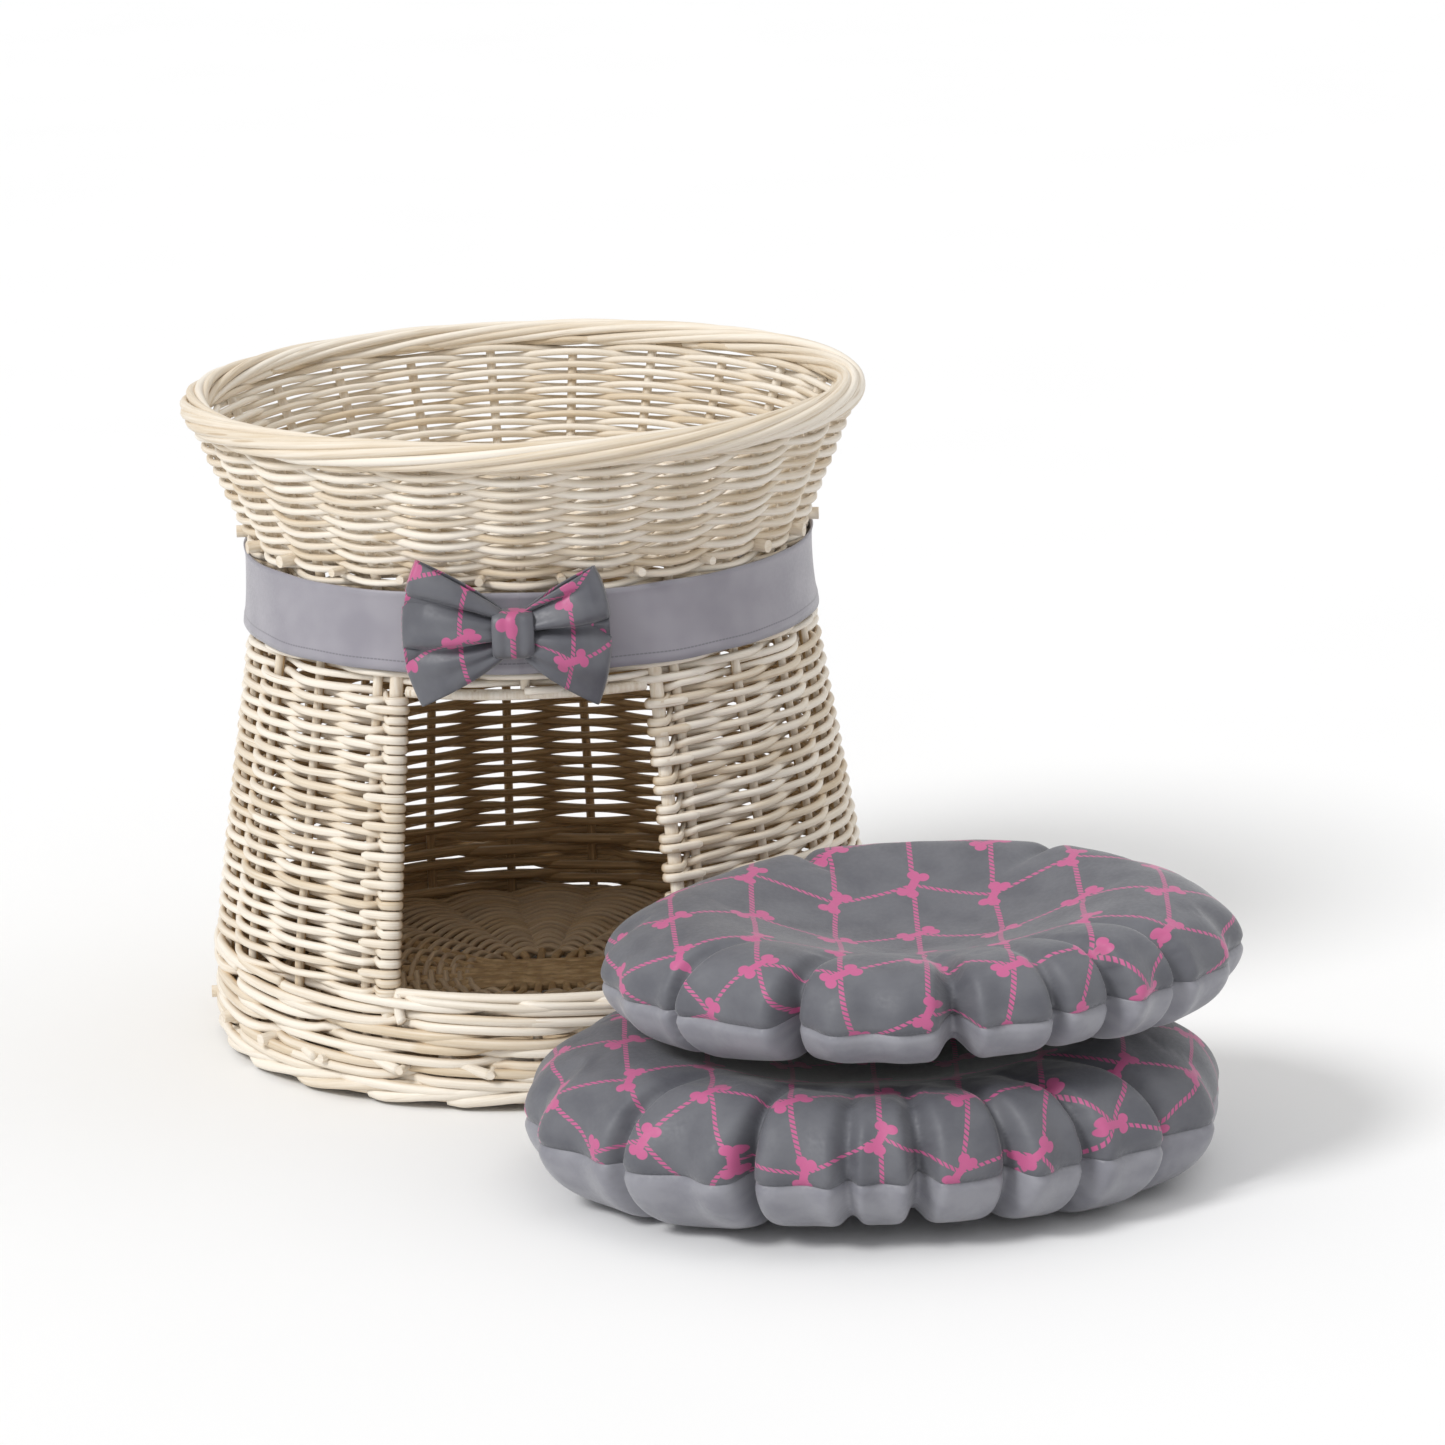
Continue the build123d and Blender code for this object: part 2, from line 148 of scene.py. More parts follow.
class Nodes:
    """Makes one material and the nodes in it."""

    def __init__(self, name: str) -> None:
        """Starts a material with a Principled surface."""
        self.material = bpy.data.materials.new(name)
        self.material.use_nodes = True
        self.tree = self.material.node_tree
        self.surface = self.tree.nodes["Principled BSDF"]

    def add(
        self, kind: str, settings: dict[str, Any], inputs: dict[Any, Any], output: Any = 0
    ) -> Shade:
        """Adds one node.

        Args:
            kind: the node's type.
            settings: its own settings, which are set first.
            inputs: values or links of its sockets, by name or number.
            output: the output socket that is returned.

        Returns:
            That output socket.
        """
        node = self.tree.nodes.new(kind)
        for key, value in settings.items():
            setattr(node, key, value)
        for key, value in inputs.items():
            self.feed(node.inputs[key], value)
        return Shade(self, node.outputs[output])

    def feed(self, socket: Any, value: Any) -> None:
        """Links or sets one input socket."""
        if isinstance(value, Shade):
            self.tree.links.new(value.socket, socket)
        else:
            socket.default_value = value

    def own(self, name: str) -> Shade:
        """A vector that the piece's points carry."""
        return self.add("ShaderNodeAttribute", {"attribute_name": name}, {}, output="Vector")

    def own_number(self, name: str) -> Shade:
        """A number that the piece's points carry."""
        return self.add("ShaderNodeAttribute", {"attribute_name": name}, {}, output="Fac")

    def place(self) -> Shade:
        """The point's place on the object."""
        return self.add("ShaderNodeTexCoord", {}, {}, output="Object")

    def facing(self) -> Shade:
        """The surface's outward direction on the object."""
        return self.add("ShaderNodeTexCoord", {}, {}, output="Normal")

    def parts(self, vector: Shade) -> tuple[Shade, Shade, Shade]:
        """A vector's three numbers."""
        node = self.tree.nodes.new("ShaderNodeSeparateXYZ")
        self.feed(node.inputs[0], vector)
        return tuple(Shade(self, out) for out in node.outputs)

    def scaled(self, vector: Shade, factors: tuple[float, float, float]) -> Shade:
        """A vector with each number multiplied by its own factor."""
        return self.add("ShaderNodeVectorMath", {"operation": "MULTIPLY"}, {0: vector, 1: factors})

    def noise(self, vector: Shade, scale: float, detail: float = 2.0, rough: float = 0.5) -> Shade:
        """Soft noise from 0 to 1 over a vector."""
        inputs = {"Vector": vector, "Scale": scale, "Detail": detail, "Roughness": rough}
        return self.add("ShaderNodeTexNoise", {}, inputs)

    def bump(self, height: Shade, depth: float, strength: float) -> None:
        """Raises the surface by a height, in units of depth metres."""
        inputs = {"Height": height, "Distance": depth, "Strength": strength}
        self.feed(self.surface.inputs["Normal"], self.add("ShaderNodeBump", {}, inputs))

    def dress(self, **values: Any) -> None:
        """Sets or links sockets of the surface; an underscore in a name stands for a space."""
        for key, value in values.items():
            self.feed(self.surface.inputs[key.replace("_", " ")], value)


# ---------------------------------------------------------------- finishes


@dataclass(frozen=True)
class Willow:
    """Peeled willow rod: cream with tan streaks along it and specks, and a streaky brown painted on as
    shade where it lies in the cave's shadow.
    """

    name: str
    light: Colour = paint(241, 233, 220)
    tan: Colour = paint(210, 191, 162)
    deep: Colour = paint(176, 146, 106)
    # painted shade: these two browns stand for the shadow inside the cave, not a colour of the willow
    painted_shade: Colour = paint(168, 138, 98)
    painted_shade_streak: Colour = paint(210, 180, 136)
    roughness: float = 0.46
    streak_long: float = 22.0
    streak_fine: float = 620.0

    def colour(self, nodes: Nodes, rod: Shade, tone: Any, inside: Any) -> None:
        """Mixes the rod's colours.

        Args:
            nodes: the material's nodes.
            rod: a vector along and across the rod, already stretched along it.
            tone: 0 for a pale rod and 1 for a tan one.
            inside: 0 outside and 1 where the rod is painted brown as the cave's shade.
        """
        streak = nodes.noise(rod, 1.0, 3.0, 0.55)
        patch = nodes.noise(rod, 0.13, 2.0)
        tanned = (streak * 0.75 + patch * 0.7 + tone * 0.55).ramp(0.62, 1.5)
        speck = nodes.noise(rod, 0.55, 1.0).ramp(0.7, 0.78) * 0.5
        bare = speck.pick(tanned.pick(self.light, self.tan), self.deep)
        # painted shade: brown with paler streaks where the inside mask is 1
        brown = streak.ramp(0.35, 0.72).pick(self.painted_shade, self.painted_shade_streak)
        nodes.dress(
            Base_Color=inside.pick(bare, brown) if isinstance(inside, Shade) else bare,
            Roughness=streak.ramp(0.2, 0.8, self.roughness - 0.05, self.roughness + 0.12),
            Specular_IOR_Level=0.42,
        )
        nodes.bump(streak, 0.0004, 0.35)


@dataclass(frozen=True)
class WovenWillow(Willow):
    """Willow whose streaks follow the woven rods, which carry their own way and tone."""

    def make(self) -> Any:
        """Returns the material."""
        nodes = Nodes(self.name)
        stretch = (self.streak_long, self.streak_fine, self.streak_fine)
        rod = nodes.scaled(nodes.own("rod"), stretch)
        self.colour(nodes, rod, nodes.own_number("tone"), nodes.own_number("inside"))
        return nodes.material


@dataclass(frozen=True)
class StraightWillow(Willow):
    """Willow for the straight rods of the frame, with streaks along one direction."""

    stretch: tuple[float, float, float] = (620.0, 620.0, 22.0)
    cave_top: float = 0.318
    cave_floor: float = 0.05
    wall: float = 0.234

    def make(self) -> Any:
        """Returns the material; a face that looks inwards or up inside the cave is painted brown as shade.
        """
        nodes = Nodes(self.name)
        place, facing = nodes.place(), nodes.facing()
        x, y, z = nodes.parts(place)
        across, along, up = nodes.parts(facing)
        # painted shade: faces turned inwards low in the cave, and the floor sticks under it, get the brown
        # shade
        inward = (x * across + y * along).ramp(0.0, -0.06)
        low = z.ramp(self.cave_top, self.cave_top - 0.004)
        within = (x * x + y * y).math("SQRT").ramp(self.wall, self.wall - 0.003)
        floor = z.ramp(self.cave_floor, self.cave_floor - 0.004) * within
        inside = (inward * low).math("MAXIMUM", floor)
        spot = nodes.noise(place, 9.0, 1.0)
        self.colour(nodes, nodes.scaled(place, self.stretch), spot, inside)
        return nodes.material


@dataclass(frozen=True)
class Cloth:
    """Close satin cotton in one colour, with fine threads, creases and soft sheen."""

    name: str
    ground: Colour
    shade: Colour
    roughness: float = 0.5
    sheen: float = 0.25
    thread: float = 0.0009

    def ground_colour(self, nodes: Nodes, flat: Shade) -> Shade:
        """The ground's colour, a little lighter and darker in places."""
        return nodes.noise(flat, 38.0, 3.0).ramp(0.35, 0.7).pick(self.ground, self.shade)

    def weave(self, nodes: Nodes, flat: Shade) -> None:
        """Fine slanting threads and small creases as a bump."""
        u, v, _ = nodes.parts(flat)
        twill = ((u + v * 0.6) * (2 * math.pi / self.thread)).math("SINE") * 0.5 + 0.5
        crease = nodes.noise(flat, 45.0, 3.0, 0.55)
        nodes.bump(twill * 0.1 + crease * 0.9, 0.0009, 0.3)

    def make(self) -> Any:
        """Returns the material."""
        nodes = Nodes(self.name)
        flat = nodes.own("cloth")
        fuzz = nodes.noise(flat, 300.0, 2.0)
        nodes.dress(
            Base_Color=self.ground_colour(nodes, flat),
            Roughness=fuzz.ramp(0.3, 0.7, self.roughness - 0.06, self.roughness + 0.06),
            Sheen_Weight=self.sheen,
            Sheen_Roughness=0.4,
        )
        self.weave(nodes, flat)
        return nodes.material


@dataclass(frozen=True)
class HemmedCloth(Cloth):
    """Plain cloth strip with a line of stitches along its lower hem."""

    stitch_from_edge: float = 0.0075
    stitch: float = 0.0032
    width: float = 0.061

    def ground_colour(self, nodes: Nodes, flat: Shade) -> Shade:
        """The ground with a darker dashed line of stitches and a hem's shadow."""
        u, v, _ = nodes.parts(flat)
        line = (v - self.stitch_from_edge).size().below(0.0005, 0.0003)
        dash = u.off_nearest(self.stitch).size().below(self.stitch * 0.36, 0.0003)
        dark = self.shade[0] * 0.55, self.shade[1] * 0.55, self.shade[2] * 0.55, 1.0
        base = nodes.noise(flat, 22.0, 2.0).ramp(0.35, 0.7).pick(self.ground, self.shade)
        return (line * (dash * 0.65 + 0.35) * 0.75).pick(base, dark)


@dataclass(frozen=True)
class PrintedCloth(Cloth):
    """Grey cotton printed with a net of twisted pink ropes and a small bone at each crossing."""

    pink: Colour = paint(188, 90, 136)
    column: float = 0.055
    row: float = 0.065
    sway: float = 0.012
    rope: float = 0.0017
    twist: float = 0.0044
    bone_half: float = 0.0098
    lobe_side: float = 0.0036
    lobe: float = 0.0042
    tilts: tuple[float, float] = (30.0, 65.0)

    def strand(self, off: Shade, way: Shade) -> Shade:
        """A twisted rope: slanting dashes within its width, from how far off and along it is."""
        dash = (way + off * 0.9).off_nearest(self.twist).size().below(self.twist * 0.34, 0.00025)
        return off.size().below(self.rope, 0.00025) * dash

    def bone(self, a: Shade, b: Shade) -> Shade:
        """A bone: a shaft and four round lobes, the same on all four sides.

        Args:
            a: how far along the bone from its middle.
            b: how far to its side.

        Returns:
            1 on the bone and 0 off it.
        """
        a, b = a.size(), b.size()
        shaft = a.below(self.bone_half, 0.0003) * b.below(self.lobe_side * 0.85, 0.0003)
        far, side = a - self.bone_half, b - self.lobe_side
        round_end = (far * far + side * side).math("SQRT").below(self.lobe, 0.0003)
        return shaft.math("MAXIMUM", round_end)

    def ground_colour(self, nodes: Nodes, flat: Shade) -> Shade:
        """The ground with the pink net over it."""
        u, v, _ = nodes.parts(flat)
        number = u.nearest(self.column)
        parity = (number * math.pi).math("COSINE")
        saw = u.off_nearest(2 * self.column).size() / self.column
        slant = v - (1 - saw * 2) * self.sway
        net = self.strand(slant.off_nearest(self.row), u)
        net = net.math("MAXIMUM", self.strand(u.off_nearest(self.column), v))
        du, level = u.off_nearest(self.column), v - parity * self.sway
        dv = level.off_nearest(self.row)
        even = (level.nearest(self.row) * math.pi).math("COSINE")
        for wanted, degrees in zip((1, -1), self.tilts):
            c, s = math.cos(math.radians(degrees)), math.sin(math.radians(degrees))
            shape = self.bone(du * c + dv * s, dv * c - du * s)
            net = net.math("MAXIMUM", shape * (even * wanted).ramp(-0.1, 0.1))
        ground = nodes.noise(flat, 30.0, 3.0).ramp(0.35, 0.7).pick(self.ground, self.shade)
        return net.pick(ground, self.pink)


@dataclass(frozen=True)
class StudioFloor:
    """Matt white floor."""

    name: str = "studio_floor"

    def make(self) -> Any:
        """Returns the material."""
        nodes = Nodes(self.name)
        faint = nodes.noise(nodes.place(), 3.0, 2.0)
        colour = faint.pick((0.86, 0.86, 0.86, 1), (0.88, 0.88, 0.88, 1))
        nodes.dress(Base_Color=colour, Roughness=0.9, Specular_IOR_Level=0.1)
        return nodes.material


class Finishes:
    """All materials of the tower, made once."""

    def __init__(self) -> None:
        """Makes the materials."""
        grey, grey_shade = paint(101, 102, 108), paint(88, 89, 96)
        plain, plain_shade = paint(156, 153, 161), paint(143, 140, 149)
        # the cushion's plain underside is a darker, cooler grey than the band's cloth: partly its own
        # grey, partly shade painted on the underside
        under, under_shade = paint(143, 143, 150), paint(128, 128, 136)
        self.woven = WovenWillow("woven_willow").make()
        self.upright = StraightWillow("upright_willow").make()
        self.across = StraightWillow("floor_stick_willow", stretch=(90.0, 90.0, 620.0)).make()
        self.band = HemmedCloth("band_satin", plain, plain_shade, roughness=0.42).make()
        self.hook = Cloth("hook_tape", paint(120, 118, 124), paint(96, 94, 100), 0.85, 0.1).make()
        self.bow = PrintedCloth("bow_print", grey, grey_shade, roughness=0.45).make()
        self.print = PrintedCloth("cushion_print", grey, grey_shade, roughness=0.55).make()
        self.plain = Cloth("cushion_plain", under, under_shade, roughness=0.48).make()


# ---------------------------------------------------------------- meshes


@dataclass
class Draft:
    """Points, faces and per-point values gathered for one piece."""

    points: list[np.ndarray] = field(default_factory=list)
    quads: list[np.ndarray] = field(default_factory=list)
    tris: list[np.ndarray] = field(default_factory=list)
    values: dict[str, list[np.ndarray]] = field(default_factory=dict)
    count: int = 0

    def add(
        self,
        points: np.ndarray,
        quads: np.ndarray,
        tris: np.ndarray,
        **values: np.ndarray,
    ) -> None:
        """Adds one closed shell.

        Args:
            points: (N, 3) places.
            quads: (M, 4) point numbers within this shell.
            tris: (K, 3) point numbers within this shell.
            values: a number or a vector for each point, by name.
        """
        self.points.append(points)
        self.quads.append(quads + self.count)
        self.tris.append(tris + self.count)
        for name, value in values.items():
            self.values.setdefault(name, []).append(value)
        self.count += len(points)

    def piece(self, name: str, material: Any) -> Any:
        """Makes the object, with its faces turned outwards by the sign of its volume.

        Args:
            name: the piece's name.
            material: its material.

        Returns:
            The object.
        """
        points = np.concatenate(self.points)
        quads, tris = np.concatenate(self.quads), np.concatenate(self.tris)
        corners = np.concatenate([quads[:, [0, 1, 2]], quads[:, [0, 2, 3]], tris])
        a, b, c = (points[corners[:, i]] for i in range(3))
        if np.einsum("ij,ij->", a, np.cross(b, c)) < 0:
            quads, tris = quads[:, ::-1], tris[:, ::-1]
        mesh = bpy.data.meshes.new(name)
        mesh.from_pydata(points.tolist(), [], quads.tolist() + tris.tolist(), shade_flat=False)
        for key, chunks in self.values.items():
            data = np.concatenate(chunks).astype(np.float32)
            kind = "FLOAT_VECTOR" if data.ndim == 2 else "FLOAT"
            layer = mesh.attributes.new(key, kind, "POINT")
            layer.data.foreach_set("vector" if data.ndim == 2 else "value", data.ravel())
        mesh.update()
        mesh.materials.append(material)
        piece = bpy.data.objects.new(name, mesh)
        bpy.context.scene.collection.objects.link(piece)
        return piece


def unit(vectors: np.ndarray) -> np.ndarray:
    """Each vector divided by its length."""
    return vectors / np.maximum(np.linalg.norm(vectors, axis=-1, keepdims=True), 1e-12)


def grid_faces(rows: int, columns: int, wrap: bool = False) -> np.ndarray:
    """Quads of a grid of points numbered row by row.

    Args:
        rows: how many rows of points.
        columns: how many points in a row.
        wrap: True joins the last column to the first.

    Returns:
        (M, 4) point numbers.
    """
    index = np.arange(rows * columns).reshape(rows, columns)
    if wrap:
        index = np.concatenate([index, index[:, :1]], axis=1)
    corners = [index[:-1, :-1], index[:-1, 1:], index[1:, 1:], index[1:, :-1]]
    return np.stack(corners, -1).reshape(-1, 4)


def sweep(
    draft: Draft,
    path: np.ndarray,
    normals: np.ndarray,
    width: np.ndarray,
    thick: Optional[np.ndarray] = None,
    tone: Union[float, np.ndarray] = 0.5,
    inside: float = 0.0,
    outward: Optional[np.ndarray] = None,
    sides: int = 8,
) -> None:
    """Carries an oval along a path: centre plus cos times half the width to the side, plus sin
    times half the thickness along the normal. The ends are closed and slightly domed.

    Args:
        draft: where the rod goes.
        path: (N, 3) the rod's line.
        normals: (N, 3) directions of its thickness.
        width: (N,) its width across the normal.
        thick: (N,) its thickness, the same as its width if it is round.
        tone: 0 for a pale rod to 1 for a tan one.
        inside: how much painted shade, a brown for the cave's shadow, it gets, all over or on the side
            turned away from outward.
        outward: (N, 3) directions out of the basket, or None to paint the shade over the whole rod.
        sides: faces round the rod.
    """
    count = len(path)
    thick = width if thick is None else thick
    tangent = unit(np.gradient(path, axis=0))
    side = unit(np.cross(tangent, normals))
    up = np.cross(side, tangent)
    turn = np.arange(sides) * (2 * math.pi / sides)
    across = np.cos(turn)[None, :] * width[:, None] / 2
    raised = np.sin(turn)[None, :] * thick[:, None] / 2
    skin = path[:, None] + across[..., None] * side[:, None] + raised[..., None] * up[:, None]
    dome = tangent[[0, -1]] * width[[0, -1], None] * END_DOME
    ends = path[[0, -1]] + dome * [[-1], [1]]
    steps = np.linalg.norm(np.diff(path, axis=0), axis=1)
    along = np.concatenate([[0.0], np.cumsum(steps)]) + draft.count * 0.0137
    rod = np.stack([np.repeat(along, sides), across.ravel(), raised.ravel()], -1)
    rod_ends = np.array([[along[0], 0, 0], [along[-1], 0, 0]])
    ring = np.arange(sides)
    last = (count - 1) * sides
    low_cap = np.stack([np.full(sides, count * sides), (ring + 1) % sides, ring], -1)
    high_cap = np.stack([np.full(sides, count * sides + 1), last + ring, last + (ring + 1) % sides], -1)
    tones = np.broadcast_to(np.asarray(tone, float), (count,))
    # painted shade: each point's share of the brown that stands for the cave's shadow
    painted_shades = np.full((count, sides), float(inside))
    if outward is not None:
        facing = (unit(skin - path[:, None]) * outward[:, None]).sum(-1)
        painted_shades = painted_shades * np.clip((0.25 - facing) / 0.5, 0, 1)
    draft.add(
        np.concatenate([skin.reshape(-1, 3), ends]),
        grid_faces(count, sides, wrap=True),
        np.concatenate([low_cap, high_cap]),
        rod=np.concatenate([rod, rod_ends]),
        tone=np.concatenate([np.repeat(tones, sides), tones[[0, -1]]]),
        inside=np.concatenate([painted_shades.ravel(), painted_shades[[0, -1], 0]]),
    )


def smooth_step(share: np.ndarray) -> np.ndarray:
    """Eases a share from 0 to 1: 3 s squared minus 2 s cubed."""
    share = np.clip(share, 0, 1)
    return share**2 * (3 - 2 * share)


def waver(rng: np.random.Generator, way: np.ndarray, waves: tuple[float, ...]) -> np.ndarray:
    """Smooth chance between about -1 and 1: a sum of cosines with the given lengths.

    Args:
        rng: the seeded chance.
        way: (N,) places along the way.
        waves: the waves' lengths along it.

    Returns:
        (N,) the chance at each place.
    """
    lengths = np.array(waves)[:, None]
    phases = rng.uniform(0, 2 * math.pi, (len(waves), 1))
    return np.cos(2 * math.pi * way[None] / lengths + phases).mean(0) * 1.4


def rod_tones(rng: np.random.Generator, way: np.ndarray, length: float) -> np.ndarray:
    """One chance tone for each rod of the given length along a weaver's way.

    Args:
        rng: the seeded chance.
        way: (N,) places along the way.
        length: a rod's length.

    Returns:
        (N,) the tone at each place, 0 for pale to 1 for tan.
    """
    tones = rng.uniform(0, 1, int(way.max() / length) + 3) ** 1.6
    return tones[(way / length).astype(int)]


def fit(piece: Any, body: Body, slot: str, *stands_for: str) -> Any:
    """Puts a piece on its body and hides the CAD nodes that it stands for.

    Args:
        piece: the piece's object.
        body: the body it rides on.
        slot: its material slot; not used.
        stands_for: the CAD nodes it replaces.

    Returns:
        The piece.
    """
    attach(piece, body.value)
    if stands_for:
        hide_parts(*stands_for)
    LOG.info("%s: %d faces", piece.name, len(piece.data.polygons))
    return piece


@dataclass
class WallLine:
    """The middle line of the basket's wall, from the floor up: radius and height along it."""

    foot_radius: float = 0.238
    waist_radius: float = 0.1985
    rim_radius: float = 0.2404
    shoulder: float = 0.088
    waist_low: float = 0.338
    waist_high: float = 0.378
    top: float = 0.4760
    bends: tuple[float, float, float] = (0.300, 0.200, 0.090)

    @cached_property
    def trace(self) -> tuple[np.ndarray, np.ndarray, np.ndarray]:
        """Places along the line, its points and its outward normals: straight runs joined by
        arcs that touch them, start plus R sin a along the run plus R (1 - cos a) to its side."""
        corners = np.array([
            [self.foot_radius, 0.0],
            [self.foot_radius, self.shoulder],
            [self.waist_radius, self.waist_low],
            [self.waist_radius, self.waist_high],
            [self.rim_radius, self.top],
        ])
        runs = unit(np.diff(corners, axis=0))
        parts = [corners[:1]]
        for corner, before, after, bend in zip(corners[1:-1], runs, runs[1:], self.bends):
            turn = math.acos(float(before @ after))
            start = corner - before * bend * math.tan(turn / 2)
            side = unit(after - before * (before @ after))
            a = np.linspace(0, turn, 24)[:, None]
            parts.append(start + bend * (np.sin(a) * before + (1 - np.cos(a)) * side))
        parts.append(corners[-1:])
        rough = np.concatenate(parts)
        way = np.concatenate([[0], np.cumsum(np.linalg.norm(np.diff(rough, axis=0), axis=1))])
        fine = np.linspace(0, way[-1], 1200)
        line = np.stack([np.interp(fine, way, rough[:, i]) for i in (0, 1)], -1)
        tangent = unit(np.gradient(line, axis=0))
        return fine, line, np.stack([tangent[:, 1], -tangent[:, 0]], -1)

    def way_at(self, height: float) -> float:
        """The way along the line at a height."""
        fine, line, _ = self.trace
        return float(np.interp(height, line[:, 1], fine))

    def radius_at(self, height: np.ndarray) -> np.ndarray:
        """The line's radius at a height."""
        return np.interp(height, self.trace[1][:, 1], self.trace[1][:, 0])

    def place(self, angle: Any, way: Any, out: Any) -> tuple[np.ndarray, np.ndarray]:
        """Points on the wall and its outward directions there.

        Args:
            angle: radians from -Y towards +X.
            way: way along the wall's line.
            out: distance outwards from the line.

        Returns:
            The points and the outward directions, each (N, 3).
        """
        angle, way, out = np.broadcast_arrays(angle, way, out)
        fine, line, normal = self.trace
        nr, nz = (np.interp(way, fine, normal[:, i]) for i in (0, 1))
        radius = np.interp(way, fine, line[:, 0]) + nr * out
        height = np.interp(way, fine, line[:, 1]) + nz * out
        sine, cosine = np.sin(angle), np.cos(angle)
        points = np.stack([radius * sine, -radius * cosine, height], -1)
        return points, np.stack([nr * sine, -nr * cosine, nz], -1)


# ---------------------------------------------------------------- basket


@dataclass
class Stakes:
    """The uprights that the rods are woven round."""

    count: int = 23
    post_angle: float = math.radians(26.87)

    @property
    def step(self) -> float:
        """The angle from one stake to the next."""
        return 2 * math.pi / self.count

    @property
    def cave_uprights(self) -> np.ndarray:
        """Angles of the right post, the stakes behind it round the cave, and the left post."""
        stakes = np.arange(2, self.count - 1) * self.step
        return np.concatenate([[self.post_angle], stakes, [2 * math.pi - self.post_angle]])


@dataclass
class PlainWeave:
    """One rod wound upwards, in front of one stake and behind the next; the odd number of stakes
    makes each row pass the other way round than the row under it."""

    name: str
    node: str
    low: float
    high: float
    pitch: float
    rod: float
    seed: int
    swing: float = 0.0062
    rod_length: float = 1.35
    per_gap: int = 10

    def build(self, wall: WallLine, stakes: Stakes, finish: Any) -> Any:
        """Way rises by one pitch a turn; distance outwards is the swing times the cosine of half
        the stake count times the angle.

        Args:
            wall: the wall's line.
            stakes: the uprights.
            finish: the willow's material.

        Returns:
            The woven piece.
        """
        rng = np.random.default_rng(self.seed)
        start, end = wall.way_at(self.low) + self.pitch / 2, wall.way_at(self.high) - self.pitch / 2
        turns = (end - start) / self.pitch
        angle = np.linspace(0, 2 * math.pi * turns, int(turns * stakes.count * self.per_gap))
        ripple = waver(rng, angle, (0.9, 1.7, 2.6, 4.1, 7.3)) * 0.00045
        way = start + self.pitch * angle / (2 * math.pi) + ripple
        swing = self.swing + waver(rng, angle, (0.7, 1.9, 3.3)) * 0.0004
        out = swing * np.cos(stakes.count * angle / 2)
        length = angle * wall.radius_at(np.array((self.low + self.high) / 2))
        taper = 1.09 - 0.2 * ((length / self.rod_length) % 1.0)
        width = self.rod * taper * (1 + waver(rng, angle, (0.31, 0.83, 2.2)) * 0.035)
        path, normals = wall.place(angle, way, out)
        draft = Draft()
        sweep(draft, path, normals, width, tone=rod_tones(rng, length, self.rod_length))
        return fit(draft.piece(self.name, finish), Body.BASKET, "peeled_willow", self.node)


